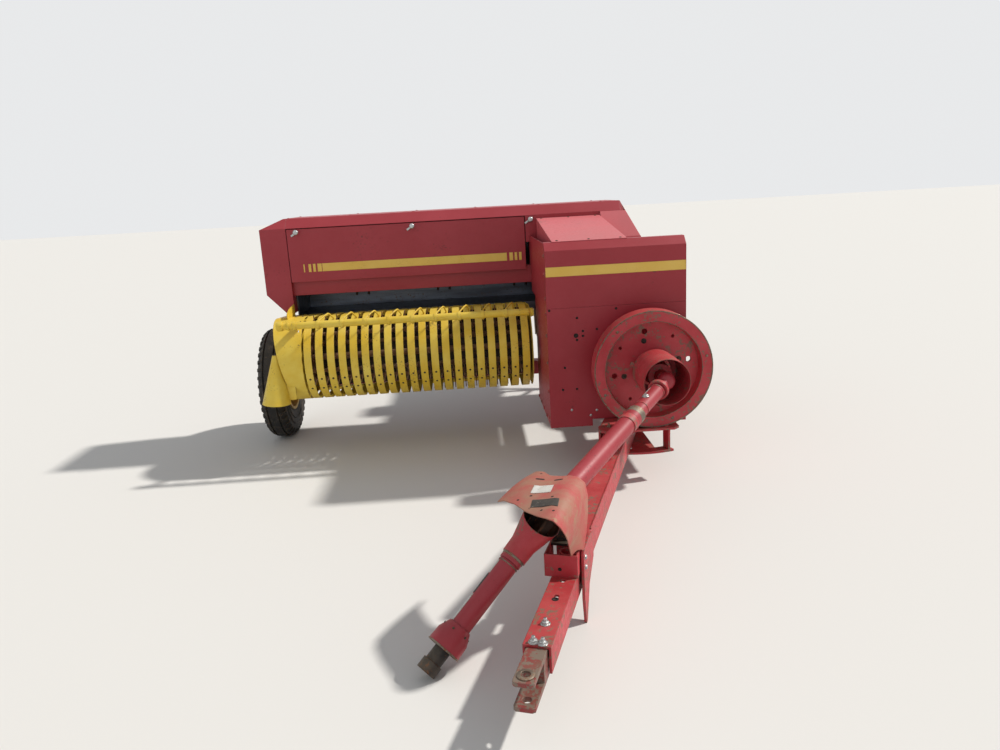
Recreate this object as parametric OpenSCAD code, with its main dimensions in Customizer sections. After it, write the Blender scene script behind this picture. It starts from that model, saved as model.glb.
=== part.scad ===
// Square baler, pull type, with side pickup and swinging tongue.
// X points to the machine's left-hand side, Y to the rear, Z up.
// Inside the model X = 0 is the middle of the bale case, Y = 0 the front
// shield's face and Z = 0 the ground. One shift at the end centres it.

/* [Wheels] */
// Tyre outside diameter
tyre_d = 740; // [700:5:780]
// Tyre width
tyre_w = 160; // [155:1:170]
// Rim diameter at the bead
rim_d = 360; // [330:5:390]
// Middle of the outer wheel from the bale case
wheel_out_x = 2095; // [2093:1:2110]
// Middle of the inner wheel from the bale case
wheel_in_x = 440; // [430:1:470]
// Axle behind the front shield
axle_y = 1150; // [1140:1:1160]
// Square axle tube
axle_tube = 90; // [80:1:92]
// Spindle radius
spindle_r = 24; // [18:1:30]

/* [Bale case] */
// Chamber width inside
case_w = 457; // [440:1:480]
// Chamber height inside
case_h = 356; // [340:1:380]
// Chamber floor above the ground
floor_z = 850; // [840:1:860]
// Sheet of the chamber walls
case_t = 5; // [4:1:8]
// Front end of the chamber
case_y0 = 480; // [460:5:500]
// Rear end of the chamber
case_y1 = 2900; // [2800:10:3000]
// End of the closed top
top_y1 = 2250; // [2245:1:2280]
// Height of the rear side walls
rear_wall_h = 230; // [180:5:260]
// Feed opening front edge
feed_y0 = 900; // [880:5:930]

/* [Front shields] */
// Width of the front shields
shield_w = 750; // [740:5:760]
// Depth of the side shields
shield_d = 650; // [600:5:660]
// Lower edge of the shields
shield_z0 = 276; // [270:1:285]
// Seam between the lower and the upper shield
seam_z = 937; // [900:1:960]
// Top of the shields' flat face
shield_z1 = 1241; // [1220:1:1250]
// Size of the shields' top bevel
bevel = 42; // [30:1:50]
// Sheet metal of shields and housings
sheet = 3; // [2:0.5:4]

/* [Hood] */
// Left edge of the hood seen from the front
hood_x0 = -330; // [-340:1:-300]
// Right edge of the hood
hood_x1 = 70; // [50:1:100]
// Rear end of the hood
hood_y1 = 866; // [860:1:868]
// Rise of the hood to its rear end
hood_rise = 98; // [80:1:110]

/* [Feeder] */
// Front face of the feeder housing
feeder_y0 = 870; // [869:1:872]
// Back wall of the feeder
feeder_y1 = 1330; // [1300:5:1360]
// Outer end of the feeder housing
feeder_x0 = -2056; // [-2070:1:-2050]
// Inner face of the feeder's outer end
feeder_in_x = -1885; // [-1888:1:-1880]
// Lower edge of the front panel
panel_z0 = 1071; // [1060:1:1080]
// Upper edge of the front panel
panel_z1 = 1405; // [1400:1:1410]
// Size of the housing's front bevel
top_bevel = 60; // [50:1:70]
// Inner end of the front panel
panel_x1 = -405; // [-410:1:-400]

/* [Pickup] */
// Gap between the front shields and the pickup
pickup_gap = 42; // [41:1:43]
// Distance from tine to tine
pitch = 68; // [67.5:0.1:68.2]
// Number of strippers
strip_n = 20; // [18:1:20]
// Width of a stripper
strip_w = 44; // [40:1:48]
// Radius of the strippers' round front
strip_r = 255; // [253:1:257]
// Reel axis behind the front shield
reel_y = 690; // [688:1:692]
// Reel axis above the ground
reel_z = 620; // [616:1:622]
// Radius to the tine tips
tip_r = 298; // [285:1:300]
// Radius to the tine bars
bar_r = 160; // [150:1:170]
// Number of tine bars
bar_n = 4; // [3:1:6]
// Wind guard pipe diameter
guard_d = 42; // [36:1:46]
// Pickup pivot above the ground
lift_z = 720; // [715:1:725]

/* [Flywheel and drive] */
// Flywheel diameter
fly_d = 620; // [600:5:630]
// Flywheel rim depth
fly_rim = 100; // [90:1:110]
// Radial width of the rim
fly_band = 57; // [45:1:65]
// Drive axis sideways from the bale case
fly_x = 150; // [140:1:160]
// Drive axis above the ground
fly_z = 618; // [610:1:625]
// Rim's front face ahead of the shield
fly_y = 200; // [195:1:205]
// Joint centre ahead of the shield
joint_y = 440; // [436:1:444]
// Joint guard outside radius
bell_r = 115; // [113:1:120]
// Front drive joint sideways
front_joint_x = -545; // [-548:1:-540]
// Front drive joint ahead of the shield
front_joint_y = 1460; // [1455:1:1465]
// Front drive joint above the ground
front_joint_z = 430; // [425:1:435]
// Turn of the front shaft from straight ahead
half_turn = 56; // [55:0.5:57]
// Slope of the front shaft as it lies on the ground
half_slope = 36; // [35:0.5:37]

/* [Tongue] */
// Tongue pivot sideways
pivot_x = 115; // [112:1:118]
// Tongue pivot behind the shield
pivot_y = 300; // [295:1:305]
// Swing of the tongue to the pickup side
swing = 18.62; // [18:0.02:19]
// Tongue underside above the ground
tongue_z0 = 170; // [165:1:175]
// Tongue depth
tongue_h = 120; // [115:1:122]
// Half width at the pivot
tongue_w0 = 62; // [58:1:66]
// Half width at the front of the beam
tongue_w1 = 55; // [50:1:58]
// Length of the beam from the pivot
beam_len = 1800; // [1790:1:1810]
// Hitch hole from the pivot
hitch_s = 2511; // [2505:1:2520]
// Hitch pin hole radius
hitch_r = 14.5; // [12:0.5:16]
// Gap between the hitch plates
hitch_gap = 66; // [60:1:70]

/* [Knotter and needles] */
// Needle pivot behind the shield
needle_y = 2190; // [2185:1:2200]
// Needle pivot above the ground
needle_z = 960; // [955:1:965]
// Outer radius of the needles
needle_r = 575; // [565:1:580]
// Needles sideways from the middle
needle_x = 110; // [100:1:120]

/* [Hidden] */
red = "firebrick";
yellow = "gold";
run = 0.05;          // radial clearance of a pin in its bore
seat = 0.3;          // gap between pieces that turn on each other
eye_r = 45;
eye_cut = 38;
meter_y = 2090;
knot_y = 1805;
seam_x = -1894;
hinge_y = feeder_y0 + 16;
tyre_r = tyre_d / 2;
half_w = case_w / 2;
wall_x = half_w + case_t;
top_z = floor_z + case_h;
axle_top = tyre_r + axle_tube / 2;
axle_bottom = tyre_r - axle_tube / 2;
rail_z0 = tongue_z0 + tongue_h + 20;
rail_z1 = rail_z0 + 80;
rail_x = 160;
rail_w = 60;
top_y0 = feeder_y0 + top_bevel;
house_y1 = feeder_y1 + 60;
house_z1 = panel_z1 + top_bevel;
strip_top = reel_z + strip_r;
bar_top_y = reel_y + 235;
bar_low_y = reel_y + 190;
bar_low_z = reel_z - strip_r + 18;
side_t = 4;
side_in_x = -shield_w / 2 - pickup_gap - side_t;
reel_x1 = side_in_x - 8;
strip_x0 = reel_x1 - 10 - strip_w / 2 - (strip_n - 1) * pitch;
reel_x0 = strip_x0 - strip_w / 2 - 10;
side_out_x = reel_x0 - 19;
post_x = side_out_x - 16;
needle_w = 35;
needle_t = 14;
needle_arc = 55;
needle_rest = 12.9;
joint_s_end = (front_joint_z - 36 * cos(half_slope)) / sin(half_slope);
top_cut0 = needle_y - sqrt(needle_r * needle_r - pow(top_z - needle_z, 2)) - 10;
top_cut1 = needle_y - sqrt(pow(needle_r - needle_w, 2) - pow(top_z + case_t - needle_z, 2)) + 10;
lo_x = -wheel_out_x - tyre_w / 2;
hi_x = 624;
lo_y = pivot_y - (hitch_s + eye_cut) * cos(swing) - sqrt(eye_r * eye_r - eye_cut * eye_cut) * sin(swing);
hi_y = case_y1;

// A box from its lowest to its highest corner.
module bx(x0, x1, y0, y1, z0, z1) {
  translate([x0, y0, z0]) cube([x1 - x0, y1 - y0, z1 - z0]);
}
// A round bar along X.
module bar_x(x0, x1, y, z, r, n = 32) {
  translate([x0, y, z]) rotate([0, 90, 0]) cylinder(h = x1 - x0, r = r, $fn = n);
}
// A round bar along Y.
module bar_y(x, y0, y1, z, r, n = 32) {
  translate([x, y0, z]) rotate([-90, 0, 0]) cylinder(h = y1 - y0, r = r, $fn = n);
}
// A round bar along Z.
module bar_z(x, y, z0, z1, r, n = 32) {
  translate([x, y, z0]) cylinder(h = z1 - z0, r = r, $fn = n);
}
// A round bar from one point to another.
module rod(p, q, r, n = 16) {
  v = q - p;
  l = norm(v);
  translate(p) rotate([0, acos(v[2] / l), atan2(v[1], v[0])]) cylinder(h = l, r = r, $fn = n);
}
// A side-view outline, drawn as Y and Z, extruded along X.
module prof(x0, x1) {
  translate([x0, 0, 0]) rotate([90, 0, 90]) linear_extrude(x1 - x0) children();
}
// A straight strip of sheet between two points of a side view.
module strip2(p, q, t) {
  v = q - p;
  n = [-v[1], v[0]] / norm(v) * t;
  polygon([p, q, q + n, p + n]);
}
// A sheet folded along the points of its outer face, with its thickness on the left.
function side_of(a, b) = [a[1] - b[1], b[0] - a[0]] / norm(b - a);
function inner_point(p, i, t) = let(n = len(p),
  a = i == 0 ? side_of(p[0], p[1]) : side_of(p[i - 1], p[i]),
  b = i == n - 1 ? a : side_of(p[i], p[i + 1])) p[i] + (a + b) * t / (1 + a * b);
module fold(p, t) {
  polygon(concat(p, [for (i = [len(p) - 1:-1:0]) inner_point(p, i, t)]));
}
// A front-view outline, drawn as X and Z, extruded from y0 to y1.
module face(y0, y1) {
  translate([0, y1, 0]) rotate([90, 0, 0]) linear_extrude(y1 - y0) children();
}
// Moves a piece drawn in the tongue's own frame, forward along -Y, to its place.
module on_tongue() {
  translate([pivot_x, pivot_y, 0]) rotate([0, 0, -swing]) children();
}

module main_frame() color(red) {
  for (s = [-1, 1]) {
    x0 = s > 0 ? rail_x : -rail_x - rail_w;
    bx(x0, x0 + rail_w, 110, axle_y - axle_tube / 2, rail_z0, rail_z1);
    bx(x0, x0 + rail_w, 560, 640, rail_z1, floor_z - case_t);
    bx(x0, x0 + rail_w, axle_y - axle_tube / 2, axle_y + axle_tube / 2, axle_top, floor_z - case_t);
  }
  bx(-rail_x - rail_w, rail_x + rail_w, 30, 110, rail_z0, rail_z1);
  bx(-rail_x, rail_x, pivot_y - 50, pivot_y + 50, rail_z0, rail_z1);
  bx(20, rail_x + rail_w, 180, 220, rail_z1, 470);
  bx(20, rail_x + rail_w, 450, 490, rail_z1, 470);
  bx(post_x - 60, post_x, axle_y - 30, axle_y + 30, axle_top, floor_z - sheet);
  bar_x(post_x, side_out_x + side_t + 6, axle_y, lift_z, 15);
  x0 = -wheel_out_x + tyre_w / 2 + 30;
  x1 = wheel_in_x - tyre_w / 2 - 95;
  bx(x0, x1, axle_y - axle_tube / 2, axle_y + axle_tube / 2, axle_bottom, axle_top);
  bar_x(-wheel_out_x - 62, x0, axle_y, tyre_r, spindle_r, 48);
  bar_x(x1, wheel_in_x + 62, axle_y, tyre_r, spindle_r, 48);
  bar_x(-wheel_out_x + 60.3, x0, axle_y, tyre_r, spindle_r + 14, 48);
  bar_x(x1, wheel_in_x - 60.3, axle_y, tyre_r, spindle_r + 14, 48);
}

// Quadrant above and strap below the tongue, with its pivot pin.
module swing_bracket() color(red) {
  reach = 530;
  ring = 470;
  strap = 65;
  difference() {
    translate([pivot_x, pivot_y, rail_z0 - 12]) linear_extrude(12) difference() {
      union() {
        circle(r = 80, $fn = 48);
        polygon([[-80, 20], [-254, 70 - reach], [-254, 30 - reach], [-224, -reach],
                 [136, -reach], [166, 30 - reach], [166, 170 - reach], [80, 20]]);
      }
      for (a = [-swing, 13]) rotate(a) translate([0, 40 - reach]) circle(r = 13, $fn = 32);
      translate([-60, 20 - reach]) square([90, 16]);
    }
    // Pocket that leaves the flywheel free to turn.
    bx(fly_x - 80, fly_x + 80, -fly_y - 6, fly_rim - fly_y + 6, rail_z0 - 7, rail_z0 + 1);
  }
  translate([pivot_x, pivot_y, tongue_z0 - 20]) linear_extrude(12) {
    circle(r = 80, $fn = 48);
    intersection() {
      difference() {
        circle(r = ring, $fn = 96);
        circle(r = ring - strap, $fn = 96);
      }
      polygon([[0, 0], 700 * [sin(-34), -cos(34)], [0, -700], 700 * [sin(19), -cos(19)]]);
    }
    polygon([[-60, 0], [60, 0], [60, strap / 2 - ring], [-60, strap / 2 - ring]]);
  }
  translate([pivot_x, pivot_y, 0]) for (a = [-31, 16]) rotate(a)
    translate([-6, 5 - ring, tongue_z0 - 8]) cube([12, strap - 10, rail_z0 - tongue_z0 - 4]);
  bar_z(pivot_x, pivot_y, tongue_z0 - 20, rail_z0, 25, 48);
}

module case_floor() color(red) difference() {
  union() {
    bx(-wall_x, wall_x, case_y0, case_y1, floor_z - case_t, floor_z);
    for (x = [-60, 30]) bx(x, x + 30, case_y0 + 170, case_y1 - 20, floor_z - case_t - 40, floor_z - case_t);
    for (s = [-1, 1]) bx(s * (wall_x - 12) - 12, s * (wall_x - 12) + 12, 1240, case_y1,
                         floor_z - case_t - 50, floor_z - case_t);
  }
  for (s = [-1, 1]) bx(s * needle_x - 15, s * needle_x + 15, needle_y - needle_r - 5,
                       needle_y - needle_r + needle_w + 20, floor_z - 90, floor_z + 10);
}

module case_left_wall() color(red) {
  prof(half_w, wall_x) polygon([[case_y0, floor_z], [case_y1, floor_z], [case_y1, floor_z + rear_wall_h],
    [top_y1, floor_z + rear_wall_h], [top_y1, top_z], [case_y0, top_z]]);
  bx(wall_x, wall_x + 30, 1240, case_y1, floor_z + rear_wall_h - 30, floor_z + rear_wall_h - 26);
  bar_x(wall_x, wall_x + 56, needle_y, needle_z, 18);
}

module case_right_wall() color(red) {
  difference() {
    prof(-wall_x, -half_w) polygon([[case_y0, floor_z], [case_y1, floor_z], [case_y1, floor_z + rear_wall_h],
      [top_y1, floor_z + rear_wall_h], [top_y1, top_z], [case_y0, top_z]]);
    bx(-wall_x - 1, -half_w + 1, feed_y0, feeder_y1, floor_z - 1, top_z - 30);
  }
  bx(-wall_x - 30, -wall_x, 1400, case_y1, floor_z + rear_wall_h - 30, floor_z + rear_wall_h - 26);
  bar_x(-wall_x - 56, -wall_x, needle_y, needle_z, 18);
}

module case_top() color(red) {
  difference() {
    bx(-wall_x, wall_x, case_y0, top_y1, top_z, top_z + case_t);
    for (s = [-1, 1])
      bx(s * needle_x - 15, s * needle_x + 15, top_cut0, top_cut1, top_z - 1, top_z + case_t + 1);
    bx(-12, 12, meter_y - 118, meter_y + 118, top_z - 1, top_z + case_t + 1);
  }
  for (s = [-1, 1]) bx(s * 215 - 5, s * 215 + 5, 700, 1590, top_z + case_t, top_z + case_t + 26);
  for (s = [-1, 1]) bx(s * 17 - 3, s * 17 + 3, meter_y - 20, meter_y + 20, top_z + case_t, 1288);
  bar_x(-20, 20, meter_y, 1271, 8, 32);
  for (x = [-150, 90]) knuckle(x, 30, 1635, top_z + case_t + 8, 8, top_z + case_t);
}

// A hinge knuckle on a block that stands on its seat.
module knuckle(x, w, y, z, r, z0) {
  bar_x(x, x + w, y, z, r, 24);
  bx(x, x + w, y - r * 0.6, y + r * 0.6, z0, z);
}

module tension_rails() color(red) {
  for (s = [-1, 1]) {
    bx(s * 198 - 30, s * 198 + 30, top_y1 + 0.3, case_y1, top_z, top_z + 8);
    bx(s * 224 - 4, s * 224 + 4, top_y1 + 0.3, case_y1, top_z - 50, top_z);
  }
  bx(-228, 228, top_y1 + 0.3, top_y1 + 60, top_z + 8, top_z + 20);
  for (s = [-1, 1]) bx(s * 224 - 4, s * 224 + 4, top_y1 + 0.3, top_y1 + 60, floor_z + rear_wall_h, top_z - 50);
}

// Cross bars, screws, springs and cranks that squeeze the bale.
module bale_tension() {
  tension_rails();
  tension_screws();
}
module tension_screws() color("silver") {
  y = 2700;
  bx(-330, 330, y - 30, y + 30, top_z + 8, top_z + 48);
  bx(-330, 330, y - 30, y + 30, floor_z - case_t - 90, floor_z - case_t - 50);
  for (s = [-1, 1]) {
    bar_z(s * 300, y, floor_z - case_t - 110, 1385, 11);
    for (k = [0:5]) bar_z(s * 300, y, top_z + 48 + k * 18, top_z + 60 + k * 18, 26, 24);
    bar_z(s * 300, y, top_z + 156, top_z + 166, 30, 24);
    bx(s * 300 - 8, s * 300 + 8, y - 120, y + 14, 1374, 1385);
    bar_z(s * 300, y - 108, 1385, 1415, 7, 16);
  }
}

module plunger() color("dimgray") {
  y1 = 840;
  difference() {
    bx(-half_w + 5, half_w - 5, case_y0 + 40, y1, floor_z + 6, top_z - 6);
    for (s = [-1, 1]) bx(s * needle_x - 14, s * needle_x + 14, y1 - 90, y1 + 1, floor_z, top_z);
    bx(-60, 60, case_y0, y1 - 120, floor_z + 60, top_z - 60);
  }
}

module gearbox() color("darkred") {
  difference() {
    union() {
      bx(25, 250, 180, 490, 470, 740);
      bar_y(fly_x, 30, 190, fly_z, 60, 48);
    }
    bar_y(fly_x, 20, 170, fly_z, 30 + run, 48);
  }
  bar_x(-20, 25, 420, fly_z, 60, 48);
}

module plunger_crank() {
  plunger();
  crank_rod();
}
// Crank arm and connecting rod to the plunger.
module crank_rod() color("dimgray") {
  cy = 420;
  cr = 300;
  pin = [-70, cy - cr, fly_z];
  wrist = [-70, 640, floor_z + case_h / 2];
  bar_x(-56, -20.3, cy, fly_z, 70, 48);
  bx(-56, -20.3, cy - cr, cy, fly_z - 35, fly_z + 35);
  bar_x(-110, -20.3, cy - cr, fly_z, 35, 32);
  translate([-110, 0, 0]) prof(0, 40) hull() {
    translate([pin[1], pin[2]]) circle(r = 46, $fn = 32);
    translate([wrist[1], wrist[2]]) circle(r = 34, $fn = 32);
  }
}

module upper_shield() color(red) {
  w = shield_w / 2;
  prof(-w, w) fold([[bevel + 45, shield_z1 + bevel], [bevel, shield_z1 + bevel], [0, shield_z1], [0, seam_z],
    [26, seam_z]], sheet);
}

module lower_shield() color(red) {
  w = shield_w / 2;
  difference() {
    prof(-w, w) fold([[0, seam_z - seat], [0, shield_z0], [60, shield_z0]], sheet);
    bar_y(fly_x, -5, 10, fly_z, 60, 48);
    bx(pivot_x - 258, pivot_x + 170, -1, 61, shield_z0 - 5, rail_z0 + 4);
  }
}

module side_shields() color(red) {
  w = shield_w / 2;
  for (s = [-1, 1]) {
    x0 = s > 0 ? w - sheet : -w;
    back = s > 0
      ? [[shield_d, shield_z1 - 91], [bevel + 40, shield_z1 - 12], [bevel + 40, shield_z1 + bevel - sheet]]
      : [[shield_d, floor_z + 80], [feeder_y0 - 4, floor_z + 80], [feeder_y0 - 4, shield_z1 + bevel - sheet]];
    difference() {
      prof(x0, x0 + sheet) polygon(concat([[sheet, shield_z0 + sheet], [shield_d, shield_z0 + sheet]], back,
        [[bevel + sheet, shield_z1 + bevel - sheet], [sheet, shield_z1 - 1.3]]));
      bx(x0 - 1, x0 + sheet + 1, 0, 26, seam_z, seam_z + sheet);
    }
    for (y = [40, 560])
      bx(s > 0 ? rail_x + rail_w : -w + sheet, s > 0 ? w - sheet : -rail_x - rail_w, y, y + 40,
         rail_z0, rail_z0 + 40);
    bx(s > 0 ? wall_x : -w + sheet, s > 0 ? w - sheet : -wall_x, 560, 600, top_z - 60, top_z - 20);
  }
}

module hood() color(red) {
  z0 = shield_z1 + bevel;
  prof(hood_x0, hood_x1) strip2([bevel, z0], [hood_y1, z0 + hood_rise], sheet);
  for (x = [hood_x0, hood_x1 - sheet]) prof(x, x + sheet)
    polygon([[bevel + 46, z0 + hood_rise * 46 / (hood_y1 - bevel)], [hood_y1, z0 + hood_rise],
      [hood_y1, z0 - 40], [bevel + 46, z0 - 40]]);
  // Steep cover beside the hood, over the front of the bale case.
  d = 215;
  y0 = top_y0 - d;
  y1 = top_y0 + 100;
  x1 = 213;
  wide = 87;
  edge = [[x1 + wide, house_z1 - d - 10], [x1, house_z1], [x1 - 20, house_z1]];
  intersection() {
    face(y0, y1) fold([edge[0], edge[1]], sheet);
    prof(x1 - 5, x1 + wide) polygon([[y0, house_z1 - d - 10], [y0, house_z1 - d], [top_y0, house_z1],
      [y1, house_z1], [y1, house_z1 - d - 10]]);
  }
  intersection() {
    prof(hood_x1 + 5, x1 + wide) fold([[feeder_y0 - 0.2, panel_z1 - 0.2], [y0, house_z1 - d]], sheet);
    face(y0, y1) polygon([[hood_x1, house_z1 - d - 10], edge[0], edge[1], [hood_x1, house_z1]]);
  }
}

// Top of the feeder housing with its front bevel and rear face.
module feeder_top() color(red) {
  prof(seam_x + seat, 209) fold([[house_y1, house_z1 - 90], [house_y1, house_z1], [top_y0, house_z1],
    [feeder_y0, panel_z1]], sheet);
  prof(panel_x1 + 5, hood_x1) fold([[feeder_y0, panel_z1 + 2], [feeder_y0, hood_meet_z()]], sheet);
}
function hood_meet_z() = shield_z1 + bevel + hood_rise - 140;

// Outer end of the housing, chamfered below and above.
module feeder_outer_end() color(red) {
  rim = [[seam_x, house_z1], [-1913, house_z1], [feeder_x0, panel_z1], [feeder_x0, 1000], [-1940, 875],
         [seam_x, 875], [seam_x, 1200]];
  skin = [[house_y1, 850], [house_y1, house_z1], [top_y0, house_z1], [feeder_y0, panel_z1], [feeder_y0, 850]];
  intersection() {
    face(feeder_y0, house_y1) fold(rim, sheet);
    prof(feeder_x0, seam_x) polygon(skin);
  }
  intersection() {
    prof(feeder_x0, seam_x) fold(skin, sheet);
    face(feeder_y0, house_y1) polygon(rim);
  }
}

module feeder_trough() {
  feeder_back_wall();
  feeder_platform();
}
module feeder_back_wall() color("slategray") {
  bx(feeder_in_x, -wall_x, feeder_y1, feeder_y1 + sheet, floor_z, house_z1 - 30);
  for (z = [floor_z, 1100]) bx(feeder_in_x, -wall_x - 10, feeder_y1 + sheet, feeder_y1 + 43, z, z + 50);
  bx(feeder_in_x, -wall_x - 10, feeder_y1 + sheet, house_y1 - sheet, house_z1 - 90, house_z1 - 40);
}

module feeder_platform() color("lightsteelblue") {
  bx(seam_x, -wall_x, reel_y + 275, feeder_y1 + 50, floor_z - sheet, floor_z);
  bx(seam_x, -wall_x - 5, reel_y + 275, reel_y + 305, floor_z - 50, floor_z - sheet);
  bx(seam_x, -wall_x - 5, feeder_y1 + 10, feeder_y1 + 50, floor_z - 50, floor_z - sheet);
  bx(seam_x, feeder_in_x, reel_y + 275, feeder_y1 + sheet, floor_z, 990);
  bx(side_in_x + side_t + 8, side_in_x + side_t + 16, axle_y - 45, axle_y + 45, lift_z - 35, floor_z - sheet);
  bar_x(side_in_x - 6, side_in_x + side_t + 8, axle_y, lift_z, 15);
}

// Beam along the mouth, behind the front panel's lower edge.
module feeder_beam() color("darkred") {
  y = feeder_y0 + 35;
  prof(seam_x, -wall_x - 140) {
    strip2([y, 1095], [y, 984], sheet);
    strip2([y, 984], [y + 34, 984], sheet);
    strip2([y + 60, 1092], [y, 1092], sheet);
  }
  bx(-wall_x - 143, -wall_x - 140, feeder_y0 + sheet, y + 60, 984, panel_z1 - 5);
  for (x = [-1700, -1150, -600]) bx(x - 30, x - 0.5, hinge_y, y, 1075, 1084);
  for (x = [-1700, -1150, -600]) bar_x(x - 30, x - 0.5, hinge_y, 1078, 6, 24);
}

// Feeder carriage rail with its fingers.
module feeder_tines() color("gray") {
  bx(feeder_in_x, -wall_x - 20, 1240, 1290, 1330, 1390);
  bx(feeder_in_x, feeder_in_x + 40, 1290, feeder_y1, 1330, 1390);
  bx(-wall_x - 60, -wall_x - 20, 1290, feeder_y1, 1330, 1390);
  for (x = [-1500, -950, -430]) {
    bx(x - 60, x + 60, 1225, 1240, 1270, 1390);
    for (dx = [-40, 40]) {
      rod([x + dx, 1232, 1275], [x + dx + 30, 1215, 1080], 9);
      rod([x + dx + 30, 1215, 1080], [x + dx, 1200, 930], 8);
    }
  }
}

module knotters() color("gray") {
  y = knot_y;
  z = 1310;
  bar_x(-205, 205, y, z, 15);
  for (x = [-205, 195]) bx(x, x + 10, y - 30, y + 30, top_z + case_t, z + 20);
  for (s = [-1, 1]) {
    x = s * needle_x;
    bar_x(x - 45, x - 35, y, z, 85, 48);
    bar_x(x - 35, x - 5, y, z, 55, 40);
    bx(x - 5, x + 40, y - 40, y + 55, top_z + case_t, z - 5);
    rod([x + 10, y - 35, z - 30], [x + 10, y - 62, z - 52], 9);
  }
}

module twine_box() color(red) {
  difference() {
    bx(300, 620, 1250, 1900, 790, 1126);
    bx(300 + sheet, 620 - sheet, 1250 + sheet, 1900 - sheet, 790 + sheet, 1127);
  }
  for (y = [1300, 1800]) bx(wall_x + 30, 300, y, y + 40, 1040, 1070);
  for (y = [1350, 1750]) bar_y(298, y, y + 40, 1136, 7, 24);
  for (y = [1350, 1750]) bx(293, 303, y, y + 40, 1110, 1136);
}

// Hinged front panel of the feeder with its return flange and knuckles.
module feeder_shield() color(red) {
  prof(seam_x + 4, panel_x1)
    fold([[feeder_y0, panel_z1 - 6], [feeder_y0, panel_z0], [hinge_y - 7, panel_z0]], sheet);
  for (x = [-1700, -1150, -600]) {
    bar_x(x, x + 40, hinge_y, 1078, 6, 24);
    bx(x, x + 40, hinge_y - 10, hinge_y, 1072, 1077);
  }
}

module knotter_cover() color(red) {
  z0 = top_z + case_t;
  y = 1635;
  outer = [[y + 12, z0 + 12], [y + 12, 1360], [y + 50, 1406], [y + 240, 1406], [y + 285, 1360],
           [y + 285, z0 + 4]];
  for (x = [-225, 225 - sheet]) prof(x, x + sheet) polygon(outer);
  prof(-225, 225) fold([for (k = [5:-1:0]) outer[k]], sheet);
  for (x = [-119.7, 120.3]) {
    bar_x(x, x + 29, y, z0 + 8, 8, 24);
    bx(x, x + 29, y, y + 13, z0 + 12, z0 + 16);
  }
}

module twine_lid() color(red) {
  bx(309, 624, 1246, 1904, 1126.3, 1130);
  for (y = [1390.3, 1790.3]) {
    bar_y(298, y, y + 29, 1136, 7, 24);
    bx(298, 320, y, y + 29, 1130, 1134);
  }
}

// Two curved needles on their yoke, pivoted behind them.
module needles() color("gray") {
  arm_x = wall_x + 28;
  a0 = 180 + needle_rest;
  bar_a = needle_rest + needle_arc;
  by = needle_y - (needle_r - needle_w / 2) * cos(bar_a);
  bz = needle_z - (needle_r - needle_w / 2) * sin(bar_a);
  for (s = [-1, 1]) {
    prof(s * needle_x - needle_t / 2, s * needle_x + needle_t / 2) translate([needle_y, needle_z])
      intersection() {
        difference() {
          circle(r = needle_r, $fn = 96);
          circle(r = needle_r - needle_w, $fn = 96);
        }
        polygon([[0, 0], 800 * [cos(a0), sin(a0)], 800 * [cos(a0 + 25), sin(a0 + 25)],
                 800 * [cos(a0 + needle_arc), sin(a0 + needle_arc)]]);
      }
    difference() {
      union() {
        prof(s * arm_x - 10, s * arm_x + 10) difference() {
          union() {
            strip2([needle_y - 25 * sin(bar_a), needle_z + 25 * cos(bar_a)],
                   [by - 25 * sin(bar_a), bz + 25 * cos(bar_a)], 50);
            translate([needle_y, needle_z]) circle(r = 36, $fn = 40);
          }
        }
      }
      bar_x(s * arm_x - 30, s * arm_x + 30, needle_y, needle_z, 18 + run, 32);
    }
  }
  bar_x(-arm_x, arm_x, by, bz, 22, 32);
}

module metering_wheel() color("silver") {
  n = 12;
  difference() {
    prof(-4, 4) translate([meter_y, 1271]) {
      circle(r = 96, $fn = 48);
      for (k = [0:n - 1]) rotate(k * 360 / n) polygon([[-14, 90], [14, 90], [0, 126]]);
    }
    bar_x(-10, 10, meter_y, 1271, 8 + run, 32);
  }
}

// Pressed wheel with its hub, about its own middle.
module rim(out) color(yellow) {
  r = rim_d / 2;
  rotate([0, out * 90, 0]) difference() {
    union() {
      rotate_extrude($fn = 64) polygon([[r - 6, -72], [r + 12, -72], [r + 12, -64], [r, -64], [r, 64],
        [r + 12, 64], [r + 12, 72], [r - 6, 72]]);
      rotate_extrude($fn = 64) polygon([[60, 6], [110, 12], [150, -4], [r - 6, -10], [r - 6, -2], [150, 4],
        [110, 20], [60, 14]]);
      translate([0, 0, -60]) cylinder(h = 120, r = 60, $fn = 48);
      translate([0, 0, 14]) for (k = [0:4]) rotate(k * 72) translate([85, 0]) cylinder(h = 16, r = 9, $fn = 16);
    }
    translate([0, 0, -80]) cylinder(h = 160, r = spindle_r + run, $fn = 48);
    for (k = [0:7]) rotate(k * 45) translate([135, 0, -30]) cylinder(h = 60, r = 12, $fn = 24);
  }
}

// Ribbed implement tyre about its own middle, with straight grooves round it.
module tyre() color("black") {
  r = tyre_r;
  b = rim_d / 2 + seat;
  w = tyre_w / 2;
  rotate([0, 90, 0]) rotate_extrude($fn = 64) polygon([[b, -60], [b + 40, -w + 8], [b + 90, -w],
    [r - 45, -w + 4], [r - 14, -w + 26], [r - 2, -w + 38], [r - 2, -38], [r - 14, -36], [r - 14, -28],
    [r, -26], [r, 26],
    [r - 14, 28], [r - 14, 36], [r - 2, 38], [r - 2, w - 38], [r - 14, w - 26], [r - 45, w - 4], [b + 90, w],
    [b + 40, w - 8], [b, 60]]);
}

module outer_rim() translate([-wheel_out_x, axle_y, tyre_r]) rim(-1);
module outer_tyre() translate([-wheel_out_x, axle_y, tyre_r]) tyre();
module inner_rim() translate([wheel_in_x, axle_y, tyre_r]) rim(1);
module inner_tyre() translate([wheel_in_x, axle_y, tyre_r]) tyre();

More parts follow.
